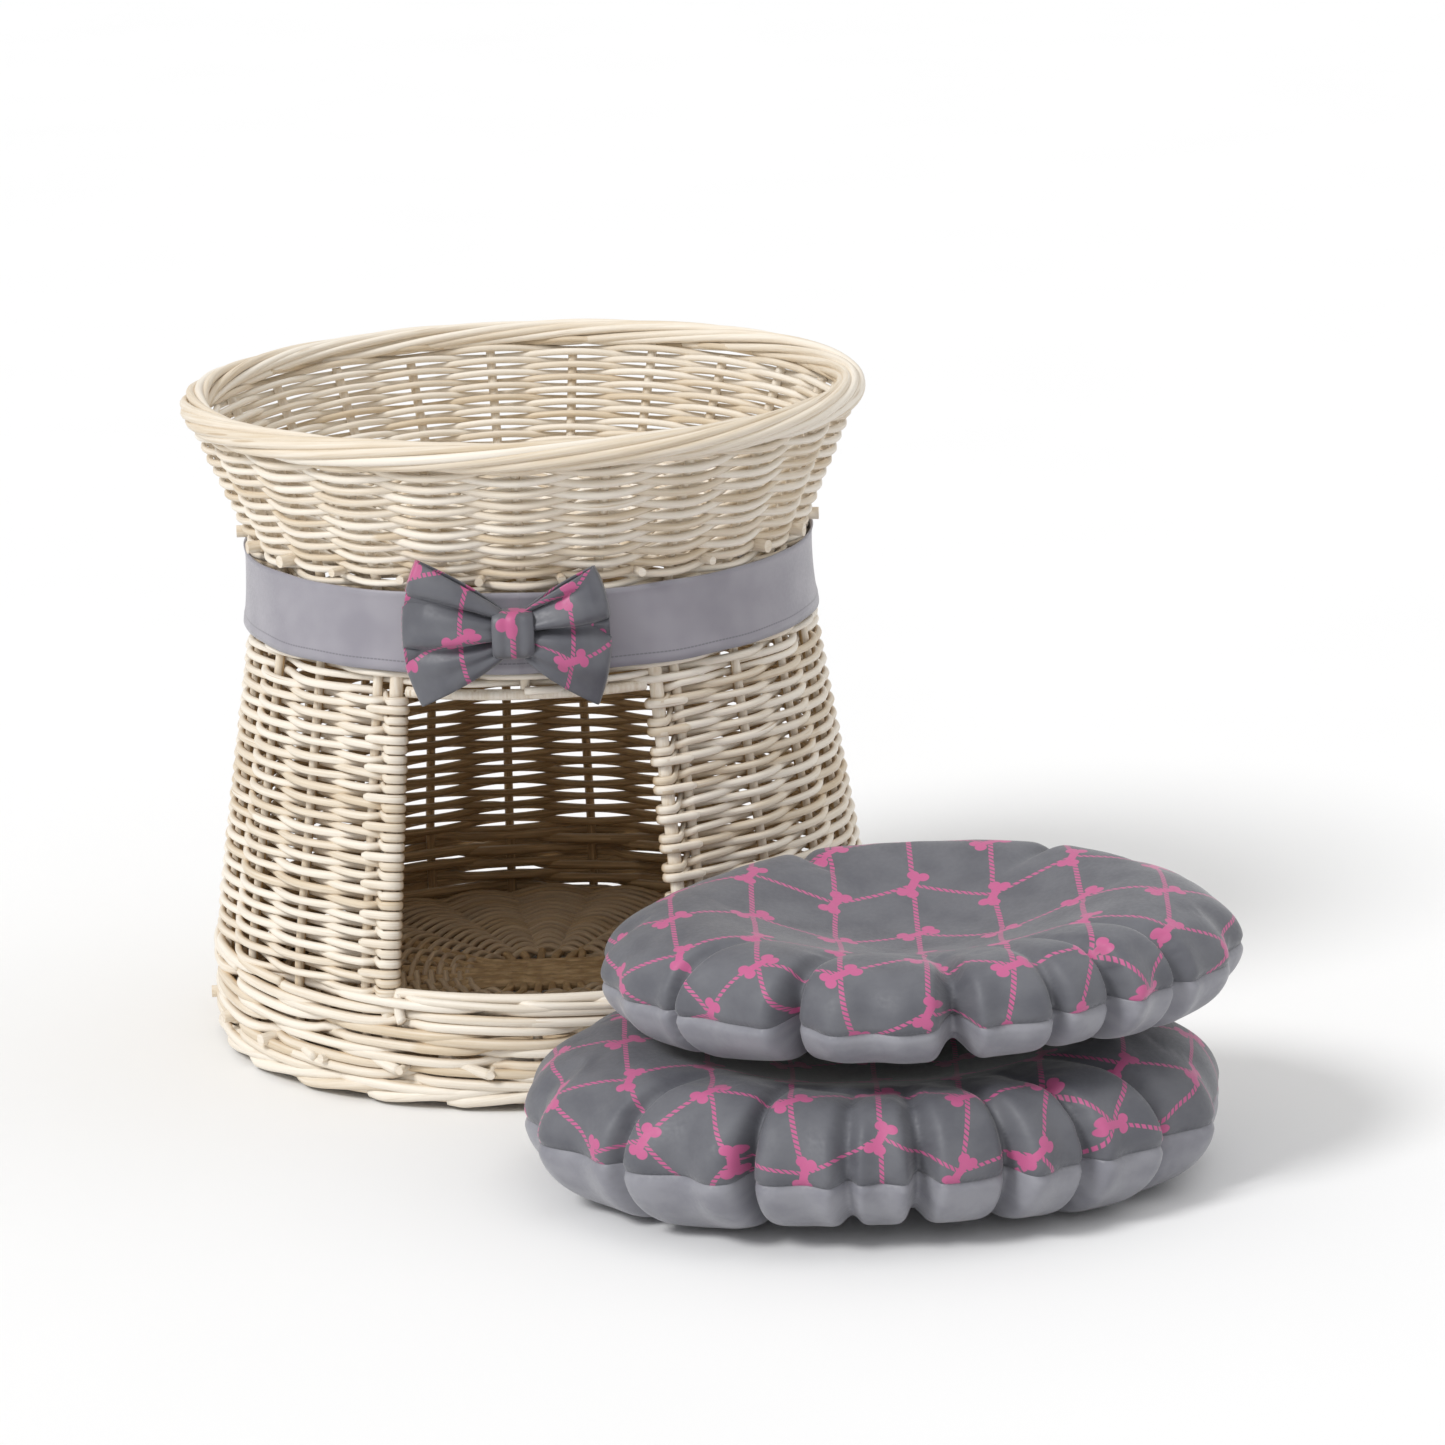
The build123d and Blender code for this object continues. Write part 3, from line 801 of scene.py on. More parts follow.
@dataclass
class CaveWeave:
    """The cave's wall: one rod woven there and back between the two door posts, turned round
    each post, with flat wraps between the turns."""

    low: float = 0.080
    high: float = 0.302
    pitch: float = 0.00525
    rod: float = 0.0061
    swing: float = 0.0058
    wrap_pitch: float = 0.0070
    wrap_out: float = 0.00775
    wrap_width: float = 0.0066
    wrap_thick: float = 0.0036
    per_gap: int = 10
    wrap_length: float = 0.019
    turn_gap: float = 0.0008
    post_reach: float = 1.2
    seed: int = 5

    def bands(self, wall: WallLine, number: np.ndarray) -> np.ndarray:
        """The way along the wall of a wrap, by its number from below."""
        return wall.way_at(self.low) + (number + 0.5) * self.wrap_pitch

    def build(self, wall: WallLine, stakes: Stakes, finish: Any) -> Any:
        """Row after row: the place among the uprights runs from 0 to the last one and back;
        distance outwards is the swing times the cosine of pi times (upright + row). Between
        rows it goes half a circle round the post's door side.

        Args:
            wall: the wall's line.
            stakes: the uprights.
            finish: the willow's material.

        Returns:
            The woven piece.
        """
        rng = np.random.default_rng(self.seed)
        uprights = stakes.cave_uprights
        last = len(uprights) - 1
        start = wall.way_at(self.low)
        rows = 2 * int((wall.way_at(self.high) - start) / self.pitch / 2)
        run = np.linspace(0, last, last * self.per_gap + 1)[1:-1]
        turn = np.linspace(0, math.pi, 9)
        row = np.arange(rows)[:, None]
        there = row % 2 == 0
        place = np.where(there, run[None], last - run[None])
        end = np.where(there, last, 0)
        wraps = row // 2
        band_right = self.bands(wall, np.floor(1.5 * wraps))
        own = start + (row + 0.5) * self.pitch
        row_before = np.maximum(row / 2 - 0.5, 0)
        first_band = np.where(there, self.bands(wall, np.floor(1.5 * row_before)), band_right)
        last_band = np.where(there, band_right, self.bands(wall, np.floor(1.5 * (row / 2))))
        near_start = smooth_step(1 - run[None] / self.post_reach)
        near_end = smooth_step(1 - (last - run[None]) / self.post_reach)
        jitter = np.stack([waver(rng, run, (2.1, 4.7, 9.3)) for _ in range(rows)]) * 0.0006
        way = own * (1 - near_start - near_end) + first_band * near_start + last_band * near_end + jitter
        out = self.swing * np.cos(math.pi * (place + row))
        reach = np.maximum(near_start, near_end)
        out = out * (1 + reach * (self.wrap_out / self.swing - 1))
        angle = np.interp(place, np.arange(last + 1), uprights)
        flat = np.broadcast_to(np.clip(reach * 1.25 - 0.1, 0, 1), out.shape)
        sign = np.cos(math.pi * (end + row))
        post = np.where(there, uprights[-1], uprights[0])
        radius = wall.radius_at(np.array(self.low)) * 0.96
        side = np.where(there, 1.0, -1.0)
        turn_angle = post + side * np.sin(turn)[None] * (self.wrap_out + self.turn_gap) / radius
        turn_out = sign * np.cos(turn)[None] * self.wrap_out
        turn_way = np.broadcast_to(last_band, turn_out.shape)
        angle = np.concatenate([angle, turn_angle], 1).ravel()
        way = np.concatenate([way, turn_way], 1).ravel()
        out = np.concatenate([out, turn_out], 1).ravel()
        flat = np.concatenate([flat, np.ones_like(turn_out)], 1).ravel()
        keep = slice(0, len(angle) - len(turn))
        angle, way, out, flat = angle[keep], way[keep], out[keep], flat[keep]
        path, normals = wall.place(angle, way, out)
        steps = np.linalg.norm(np.diff(path, axis=0), axis=1)
        length = np.concatenate([[0.0], np.cumsum(steps)])
        taper = self.rod * (1.08 - 0.18 * ((length / 1.5) % 1.0))
        width = taper * (1 - flat) + self.wrap_width * flat
        thick = taper * (1 - flat) + self.wrap_thick * flat
        tone = rod_tones(rng, length, 1.5) * (1 - 0.25 * flat) + 0.25 * flat
        draft = Draft()
        outward = normals
        tangent = unit(np.gradient(path, axis=0))
        flow = unit(np.cross(tangent, np.array([0.0, 0.0, 1.0])))
        normals = np.where((flow * normals).sum(1, keepdims=True) < 0, -flow, flow)
        normals = self.steady(normals)
        # painted shade: the rods' side turned into the cave is painted brown
        sweep(draft, path, normals, width, thick, tone=tone, inside=1.0, outward=outward)
        self.extra_wraps(draft, wall, stakes, rng, rows)
        piece = draft.piece("cave_wall_rods", finish)
        return fit(piece, Body.BASKET, "peeled_willow", "cave_wall_weave")

    def steady(self, normals: np.ndarray) -> np.ndarray:
        """Turns normals round where they jump to the other side, so that a rod isn't twisted."""
        flips = np.where((normals[1:] * normals[:-1]).sum(1) < 0, -1.0, 1.0)
        return normals * np.concatenate([[1.0], np.cumprod(flips)])[:, None]

    def extra_wraps(
        self, draft: Draft, wall: WallLine, stakes: Stakes, rng: np.random.Generator, rows: int
    ) -> None:
        """Flat wraps between the turns, on both posts: each starts outside behind the post, goes
        round its door side and ends inside behind it.

        Args:
            draft: where the wraps go.
            wall: the wall's line.
            stakes: the uprights.
            rng: the seeded chance.
            rows: how many rows the rods between the wraps make.
        """
        bend = np.linspace(0, math.pi, 9)
        back = np.linspace(self.wrap_length, 0, 7)[:-1]
        for side in (-1.0, 1.0):
            for number in range(2, int(rows * self.pitch / self.wrap_pitch), 3):
                way = float(self.bands(wall, np.array(number)))
                height = float(np.interp(way, wall.trace[0], wall.trace[1][:, 1]))
                radius = float(wall.radius_at(np.array(height)))
                bulge = np.sin(bend) * (self.wrap_out + self.turn_gap)
                over = np.concatenate([-back, bulge, -back[::-1]])
                round_out = np.concatenate([
                    np.full(6, 1.0) + 0.06 * (back > 0.012),
                    np.cos(bend),
                    np.full(6, -1.0),
                ])
                angle = side * (stakes.post_angle - over / radius)
                lift = rng.normal(0, 0.0003)
                path, normals = wall.place(angle, way + lift, round_out * self.wrap_out)
                tangent = unit(np.gradient(path, axis=0))
                flow = self.steady(unit(np.cross(tangent, np.array([0.0, 0.0, 1.0]))))
                size = np.ones(len(path))
                size[0] = 0.55
                # painted shade: the wraps' side turned into the cave is painted brown
                sweep(
                    draft,
                    path,
                    flow,
                    size * self.wrap_width,
                    size * self.wrap_thick,
                    tone=float(rng.uniform(0.1, 0.7)),
                    inside=1.0,
                    outward=normals,
                )


@dataclass
class FootWeave:
    """Three rods woven together round the foot, each in front of two stakes and behind the next,
    so that slanting strokes show, with a few cut ends."""

    low: float = 0.0110
    high: float = 0.0815
    pitch: float = 0.0047
    rod: float = 0.0079
    swing: float = 0.0064
    slant: float = 0.0013
    per_gap: int = 10
    seed: int = 11

    def build(self, wall: WallLine, stakes: Stakes, finish: Any) -> Any:
        """Distance outwards is the swing times a squared-off wave over three stakes: tanh of a
        multiple of (1/3 + 4/3 cos), near +1 at two stakes and -1 at the third. The rods climb
        three pitches a turn, with one level turn at each end.

        Args:
            wall: the wall's line.
            stakes: the uprights.
            finish: the willow's material.

        Returns:
            The woven piece.
        """
        rng = np.random.default_rng(self.seed)
        start, end = wall.way_at(self.low) + self.rod / 2, wall.way_at(self.high) - self.rod / 2
        climbs = (end - start - 2 * self.pitch) / (3 * self.pitch)
        turns = climbs + 2
        turning = np.linspace(0, 2 * math.pi * turns, int(turns * stakes.count * self.per_gap))
        rise = 3 * self.pitch * np.clip(turning / (2 * math.pi) - 1, 0, climbs)
        draft = Draft()
        for rod in range(3):
            angle = turning + rod * stakes.step
            wave = 2 * math.pi * (angle / stakes.step - rod - 0.5) / 3
            out = self.swing * np.tanh(1.7 * (1 / 3 + 4 / 3 * np.cos(wave)))
            way = start + self.pitch * rod + rise - self.slant * np.sin(wave) * (out > 0)
            way = way + waver(rng, angle, (1.1, 2.3, 5.1)) * 0.0005
            length = angle * wall.foot_radius
            width = self.rod * (1.06 - 0.14 * ((length / 1.1) % 1.0))
            path, normals = wall.place(angle, way, out)
            tones = rod_tones(rng, length, 1.1)
            # painted shade: the foot rods' side turned into the cave is painted brown
            sweep(draft, path, normals, width, tone=tones, inside=1.0, outward=normals)
        self.cut_ends(draft, wall)
        piece = draft.piece("foot_rods", finish)
        return fit(piece, Body.BASKET, "peeled_willow", "foot_weave")

    def cut_ends(self, draft: Draft, wall: WallLine) -> None:
        """Three rods that end outside with an oblique cut, low on the front of the foot."""
        for degrees in (-41.3, -24.2, -8.1):
            angle = math.radians(degrees) + np.linspace(-0.16, 0.0, 14)
            way = 0.0335 - np.linspace(-0.004, 0.0045, 14)
            out = np.linspace(-0.001, 0.0098, 14)
            path, normals = wall.place(angle, way, out)
            sweep(draft, path, normals, np.full(14, 0.0078), tone=0.2, sides=12)


@dataclass
class Border:
    """A rolled border: each stake's end laid over the next ones as a long shallow spiral round a
    ring, so that several strands lie side by side."""

    name: str
    node: str
    radius: float
    height: float
    roll: float
    strand: float
    turn_from: float
    turn_to: float
    sweep_degrees: float
    seed: int
    core: float

    def ring(self, angle: np.ndarray, turn: np.ndarray, roll: Any) -> tuple[np.ndarray, np.ndarray]:
        """Points at a turn round the ring's own circle.

        Args:
            angle: (N,) radians round the basket.
            turn: (N,) radians round the roll, 0 at its outermost line.
            roll: how far the points lie from the ring's middle line.

        Returns:
            The points and the directions away from that line, each (N, 3).
        """
        across, up = np.cos(turn), np.sin(turn)
        radius = self.radius + roll * across
        height = self.height + roll * up
        points = np.stack([radius * np.sin(angle), -radius * np.cos(angle), height], -1)
        return points, np.stack([across * np.sin(angle), -across * np.cos(angle), up], -1)

    def build(self, stakes: Stakes, finish: Any) -> Any:
        """Strand i starts at stake i; its angle and its turn round the roll grow together.

        Args:
            stakes: the uprights.
            finish: the willow's material.

        Returns:
            The border.
        """
        rng = np.random.default_rng(self.seed)
        draft = Draft()
        t = np.linspace(0, 1, 44)
        for number in range(stakes.count):
            sweep_angle = math.radians(self.sweep_degrees) * rng.uniform(0.94, 1.06)
            angle = number * stakes.step + rng.normal(0, 0.012) + t * sweep_angle
            turn = np.radians(self.turn_from + (self.turn_to - self.turn_from) * t)
            turn = turn + waver(rng, t, (0.35, 0.6, 1.4)) * 0.05
            roll = self.roll * (1 + waver(rng, t, (0.3, 0.8)) * 0.05)
            tuck = 0.0028 * np.clip(1 - t / 0.06, 0, 1) + 0.0020 * np.clip((t - 0.95) / 0.05, 0, 1)
            roll = roll - tuck
            width = self.strand * rng.uniform(0.93, 1.07) * (1.1 - 0.25 * t)
            path, normals = self.ring(angle, turn, roll)
            sweep(draft, path, normals, width, tone=float(rng.uniform(0, 0.8)))
        around = np.linspace(0, 2 * math.pi, 180)
        path, normals = self.ring(around, np.zeros(180), 0.0)
        sweep(draft, path, normals, np.full(180, self.core), tone=0.7)
        return fit(draft.piece(self.name, finish), Body.BASKET, "peeled_willow", self.node)


@dataclass
class FloorWeave:
    """A floor woven outwards from the bare cross of sticks: one rod in a flat spiral, over one
    stick and under the next."""

    name: str
    node: str
    height: float
    outer: float
    # True paints the floor brown as the cave's shade
    painted_shade: bool
    seed: int
    inner: float = 0.056
    pitch: float = 0.0054
    rod: float = 0.0052
    swing: float = 0.0056

    def build(self, stakes: Stakes, finish: Any) -> Any:
        """Radius grows by one pitch a turn; height is the swing times the cosine of half the
        stick count times the angle, measured from halfway between two stakes.

        Args:
            stakes: the uprights.
            finish: the willow's material.

        Returns:
            The floor.
        """
        rng = np.random.default_rng(self.seed)
        turns = (self.outer - self.inner) / self.pitch
        angle = np.linspace(0, 2 * math.pi * turns, int(turns * stakes.count * 7))
        radius = self.inner + self.pitch * angle / (2 * math.pi)
        radius = radius + waver(rng, angle, (1.3, 3.1, 5.9)) * 0.0005
        swing = self.swing * np.clip((radius - 0.03) / 0.06, 0.5, 1)
        lift = swing * np.cos(stakes.count * (angle - stakes.step / 2) / 2)
        path = np.stack([radius * np.sin(angle), -radius * np.cos(angle), self.height + lift], -1)
        normals = np.broadcast_to(np.array([0.0, 0.0, 1.0]), path.shape)
        length = np.concatenate([[0.0], np.cumsum(np.linalg.norm(np.diff(path, axis=0), axis=1))])
        width = self.rod * (1.08 - 0.18 * ((length / 1.4) % 1.0))
        draft = Draft()
        # painted shade: the cave's floor is painted brown at three quarters for the shadow in the cave
        painted_shade_share = 0.75 if self.painted_shade else 0.0
        sweep(draft, path, normals, width, tone=rod_tones(rng, length, 1.4), inside=painted_shade_share, sides=6)
        return fit(draft.piece(self.name, finish), Body.BASKET, "willow_floor", self.node)


@dataclass
class DoorSill:
    """The rod along the doorway's lower edge, bent down in a hook at its left corner."""

    height: float = 0.0842
    half_angle: float = math.radians(24.6)
    rod: float = 0.0078
    seed: int = 23

    def build(self, wall: WallLine, finish: Any) -> Any:
        """The rod's height falls a little from left to right; at the left it turns down into the
        foot by a quarter circle. Two thinner rods slant down under it.

        Args:
            wall: the wall's line.
            finish: the willow's material.

        Returns:
            The sill's rods.
        """
        draft = Draft()
        t = np.linspace(0, 1, 60)
        angle = -self.half_angle + 2 * self.half_angle * np.clip((t - 0.12) / 0.86, 0, 1)
        drop = np.clip(1 - t / 0.12, 0, 1)
        angle = angle + 0.02 * (1 - np.cos(drop * math.pi / 2))
        height = self.height - 0.0032 * t - 0.020 * np.sin(drop * math.pi / 2) ** 2
        way = np.interp(height, wall.trace[1][:, 1], wall.trace[0])
        out = 0.0012 + 0.0045 * drop - 0.006 * np.clip((t - 0.95) / 0.05, 0, 1)
        path, normals = wall.place(angle, way, out)
        sweep(draft, path, normals, np.full(60, self.rod), tone=0.15, sides=12)
        for start, end, lift in ((-0.40, 0.10, -0.0055), (-0.05, 0.42, -0.0075)):
            angle = np.linspace(start, end, 40)
            level = self.height + lift + 0.003 * np.linspace(1, -1, 40)
            way = np.interp(level, wall.trace[1][:, 1], wall.trace[0])
            path, normals = wall.place(angle, way, 0.0078 - 0.007 * np.linspace(-1, 1, 40) ** 8)
            sweep(draft, path, normals, np.full(40, 0.0058), tone=0.3)
        return fit(draft.piece("door_sill_rods", finish), Body.BASKET, "peeled_willow", "door_sill_rod")


@dataclass
class Basket:
    """The whole willow basket."""

    wall: WallLine = field(default_factory=WallLine)
    stakes: Stakes = field(default_factory=Stakes)
    uprights: tuple[str, ...] = (
        "stakes",
        "sill_stakes",
        "header_stakes",
        "door_post_left",
        "door_post_right",
        "door_lintel_rod",
    )
    floor_sticks: tuple[str, ...] = (
        "cave_floor_pierced_sticks",
        "cave_floor_threaded_sticks",
        "tray_floor_pierced_sticks",
        "tray_floor_threaded_sticks",
    )

    def build(self, finishes: Finishes) -> None:
        """Builds the woven pieces and dresses the straight ones."""
        wall, stakes, woven = self.wall, self.stakes, finishes.woven
        for weave in (
            PlainWeave("waist_rods", "waist_weave", 0.298, 0.373, 0.0053, 0.0056, 2),
            PlainWeave("tray_wall_rods", "tray_wall_weave", 0.366, 0.4745, 0.0049, 0.0055, 3),
            CaveWeave(),
            FootWeave(),
        ):
            weave.build(wall, stakes, woven)
        for layer in (
            Border(
                "rim_border_rods", "rim_border", radius=0.241, height=0.4768, roll=0.0078,
                strand=0.0068, turn_from=-85, turn_to=235, sweep_degrees=118, seed=7, core=0.012,
            ),
            Border(
                "foot_border_rods", "foot_border", radius=0.238, height=0.0105, roll=0.0062,
                strand=0.0078, turn_from=-55, turn_to=165, sweep_degrees=45, seed=8, core=0.012,
            ),
            # True gives the cave's floor its painted shade
            FloorWeave("cave_floor_rods", "cave_floor_weave", 0.0298, 0.2285, True, 12),
            FloorWeave("tray_floor_rods", "tray_floor_weave", 0.382, 0.1905, False, 13),
        ):
            layer.build(stakes, woven)
        DoorSill().build(wall, woven)
        for names, material, slot in (
            (self.uprights, finishes.upright, "willow_stakes"),
            (self.floor_sticks, finishes.across, "willow_floor"),
        ):
            for name in names:
                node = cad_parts[name]
                node.data.materials.clear()
                node.data.materials.append(material)


# ---------------------------------------------------------------- cloth


def closed_strip(
    face: np.ndarray, direction: np.ndarray, thick: float, flat: np.ndarray, wrap: bool
) -> Draft:
    """A cloth with two sides and closed edges.

    Args:
        face: (R, C, 3) the cloth's inner side.
        direction: (R, C, 3) from its inner to its outer side.
        thick: its thickness.
        flat: (R, C, 3) each point's place on the flat cloth.
        wrap: True where the last column meets the first.

    Returns:
        The draft, with the flat places as the value named cloth.
    """
    rows, columns = face.shape[:2]
    outer = face + direction * thick
    points = np.concatenate([face.reshape(-1, 3), outer.reshape(-1, 3)])
    count = rows * columns
    inner_quads = grid_faces(rows, columns, wrap)[:, ::-1]
    outer_quads = grid_faces(rows, columns, wrap) + count
    index = np.arange(count).reshape(rows, columns)
    rims = [index[0], index[-1][::-1]]
    if wrap:
        rims = [np.append(rim, rim[0]) for rim in rims]
    else:
        rims += [index[::-1, 0], index[:, -1]]
    edges = [np.stack([r[:-1], r[1:], r[1:] + count, r[:-1] + count], -1) for r in rims]
    draft = Draft()
    quads = np.concatenate([inner_quads, outer_quads, *edges])
    both = np.concatenate([flat.reshape(-1, 3)] * 2)
    draft.add(points, quads, np.zeros((0, 3), int), cloth=both)
    return draft


@dataclass
class WaistBand:
    """A hemmed satin strip pulled round the waist and closed at the back with hook tape."""

    low: float = 0.3130
    high: float = 0.3740
    out: float = 0.0094
    thick: float = 0.0013
    tail_length: float = 0.066
    tape_length: float = 0.044
    seed: int = 31

    def build(self, wall: WallLine, finishes: Finishes) -> None:
        """Distance outwards has small ripples, and the edges rise and fall a little."""
        rng = np.random.default_rng(self.seed)
        around = np.linspace(0, 2 * math.pi, 361)[:-1]
        share = np.linspace(0, 1, 13)[:, None]
        loops = np.array([3, 5, 8, 13, 21])
        phases = rng.uniform(0, 2 * math.pi, (3, 5))
        ripple = [np.cos(loops[:, None] * around[None] + p[:, None]).mean(0)[None] for p in phases]
        low = self.low + ripple[0] * 0.0011
        high = self.high + ripple[1] * 0.0011
        height = low + (high - low) * share
        hem = 0.0006 * ((share < 0.13) | (share > 0.95))
        belly = 0.0007 * np.sin(math.pi * share)
        out = self.out + hem + belly + ripple[2] * 0.0007 * np.sin(math.pi * share)
        way = np.interp(height, wall.trace[1][:, 1], wall.trace[0])
        points, normals = wall.place(around[None], way, out)
        flat = np.stack([
            np.broadcast_to(around * 0.2145, height.shape),
            height - low,
            np.zeros_like(height),
        ], -1)
        strip = closed_strip(points, normals, self.thick, flat, wrap=True)
        band = fit(strip.piece("waist_band_cloth", finishes.band), Body.BASKET, "band_cloth", "waist_band")
        self.patch(
            wall, finishes.hook, "hook_tape", "hook_and_loop", "band_fastener",
            shift=0.0, length=self.tape_length, margin=0.005, out=0.0112,
        )
        self.patch(
            wall, finishes.band, "band_tail_cloth", "band_cloth", "band_tail",
            shift=0.006, length=self.tail_length, margin=0.001, out=0.0128,
        )

    def patch(
        self, wall: WallLine, material: Any, name: str, slot: str, node: str,
        shift: float, length: float, margin: float, out: float,
    ) -> None:
        """A short strip laid over the band at the back.

        Args:
            wall: the wall's line.
            material: the strip's material.
            name: the piece's name.
            slot: its material slot.
            node: the CAD node it stands for.
            shift: how far its middle is from the back's middle.
            length: its length round the basket.
            margin: how far its edges are inside the band's.
            out: its distance outwards from the wall's line.
        """
        along = np.linspace(-length / 2, length / 2, 25)[None] + shift
        height = np.linspace(self.low + margin, self.high - margin, 9)[:, None]
        angle = math.pi + along / 0.2105
        way = np.interp(height, wall.trace[1][:, 1], wall.trace[0])
        edge = np.clip((np.abs(along - shift) - length / 2 + 0.004) / 0.004, 0, 1)
        points, normals = wall.place(angle, way, out + 0.0004 * edge)
        flat = np.stack(np.broadcast_arrays(along, height - self.low, 0.0), -1)
        strip = closed_strip(points, normals, 0.0012, flat, wrap=False)
        piece = fit(strip.piece(name, material), Body.BASKET, slot, node)


@dataclass
class Bow:
    """A bow of printed cotton: a folded ribbon pinched into two fans by a knot."""

    centre_x: float = -0.0060
    centre_z: float = 0.3470
    back_y: float = -0.2125
    knot_width: float = 0.029
    knot_height: float = 0.033
    neck_half: float = 0.0125
    left_reach: float = 0.0740
    right_reach: float = 0.0640
    cloth: float = 0.0011
    ribbon: float = 0.104
    knot_ribbon: float = 0.098
    knot_behind: float = 0.0118
    knot_deep: float = 0.0125
    left_folds: Folds = ((0.52, 0.0095, 1.15), (-0.22, 0.0085, 1.25))
    right_folds: Folds = ((0.74, 0.0085, 0.85), (0.12, 0.0095, 1.3))

    def fan(
        self,
        side: float,
        reach: float,
        top: float,
        bottom: float,
        phase: float,
        folds: Folds,
    ) -> tuple[np.ndarray, np.ndarray]:
        """One fan, from the knot out along its front and back again behind.

        Args:
            side: -1 for the left fan and +1 for the right one.
            reach: its length at mid height.
            top: height of its upper corner above the knot's middle.
            bottom: depth of its lower corner below it.
            phase: shifts its small pleats.
            folds: its deep folds, each with its place across the height from -1 to 1, its depth
                and how far out it reaches, where 1 is the outer edge. Each is a bell curve with
                one steep flank.

        Returns:
            The points (R, C, 3) and the flat places, where a row runs across the fan's height
            and a column from the knot out and back.
        """
        w = np.linspace(0, 1, 81)[None]
        v = np.linspace(-1, 1, 57)[:, None]
        u = 1 - np.abs(2 * w - 1)
        u = np.sqrt(np.clip(1 - (1 - u) ** 2, 0, 1)) * 0.35 + u * 0.65
        open_up = np.clip(u, 0, 1) ** 0.8
        half = np.where(v > 0, top, bottom)
        height = v * (self.neck_half * (1 - open_up) + half * open_up)
        edge = 1 - 0.16 * np.abs(v) ** 2.2
        x = reach * u * edge
        front = np.where(w < 0.5, 1.0, -1.0)
        puff = np.sin(np.clip(u, 0, 1) * math.pi * 0.92 + 0.1) ** 0.8
        round_off = 1 - 0.55 * np.abs(v) ** 2.5
        depth = front * (0.0015 + 0.0105 * puff * round_off)
        for middle, sink, reach_to in folds:
            off = v - middle - 0.10 * middle * (1 - u)
            side_width = np.where(off > 0, 0.085, 0.24) * (0.75 + 0.35 * u)
            along = np.clip(u * 5, 0, 1) * np.clip((reach_to - u) / 0.35, 0, 1) ** 0.8
            depth = depth - front * sink * along * np.exp(-((off / side_width) ** 2))
        depth = depth + front * 0.0014 * np.cos(v * math.pi * 4.7 + phase) * np.clip(1.1 - u, 0, 1)
        ripple = 0.0016 * np.sin(v * 7 + phase) * np.clip(u * 1.6 - 0.5, 0, 1)
        y = self.back_y - self.knot_behind - depth + ripple
        lean = 0.0030 * np.clip(u, 0, 1) ** 2
        out = self.centre_x + side * (0.004 + x)
        points = np.stack(np.broadcast_arrays(out, y + lean, self.centre_z + height), -1)
        run = side * (w * 2 * reach * 1.05) + 0.024
        flat = np.stack(np.broadcast_arrays(run, v * 0.052 + 0.013, 0.0), -1)
        return points, flat

    def build(self, finishes: Finishes) -> None:
        """Builds the two fans and the knot."""
        for name, side, reach, top, bottom, phase, folds in (
            ("bow_fan_left", -1.0, self.left_reach, 0.0535, 0.0510, 0.4, self.left_folds),
            ("bow_fan_right", 1.0, self.right_reach, 0.0455, 0.0540, 2.0, self.right_folds),
        ):
            points, flat = self.fan(side, reach, top, bottom, phase, folds)
            across = np.gradient(points, axis=0)
            along = np.gradient(points, axis=1)
            direction = unit(np.cross(along, across)) * side
            strip = closed_strip(points, direction, self.cloth, flat, wrap=False)
            piece = fit(strip.piece(name, finishes.bow), Body.BASKET, "bow_cloth", "bow_loops")
        self.build_knot(finishes)

    def build_knot(self, finishes: Finishes) -> None:
        """The knot is a strip round the neck: a rounded box whose front is full and whose edges
        are drawn in, from a superellipse carried across its width."""
        turn = np.linspace(math.pi, 3 * math.pi, 65)[:-1][None]
        v = np.linspace(-1, 1, 25)[:, None]
        power = 2 / 3.2
        c, s = np.cos(turn), np.sin(turn)
        shape = 1 - 0.10 * np.abs(v) ** 3
        height = np.sign(s) * np.abs(s) ** power * self.knot_height / 2 * shape
        depth = np.sign(c) * np.abs(c) ** power * self.knot_deep * shape * (1 + 0.04 * np.cos(v * 9))
        x = self.centre_x + v * self.knot_width / 2 * (1 - 0.06 * np.abs(s) ** 4)
        y = self.back_y - self.knot_behind - depth
        points = np.stack(np.broadcast_arrays(x, y, self.centre_z + height), -1)
        middle = len(v) // 2
        climbs = np.diff(height[middle], append=height[middle, :1])
        steps = np.hypot(climbs, np.diff(depth[middle], append=depth[middle, :1]))
        around = np.cumsum(steps)[None] - steps.sum() / 4
        side_on = v * self.knot_width / 2
        flat = np.stack(np.broadcast_arrays(side_on + 0.055, around + 0.010, 0.0), -1)
        across, along = np.gradient(points, axis=0), np.gradient(points, axis=1)
        direction = unit(np.cross(across, along))
        strip = closed_strip(points, direction, self.cloth, flat, wrap=True)
        piece = fit(strip.piece("bow_knot_cloth", finishes.bow), Body.BASKET, "bow_cloth", "bow_knot")


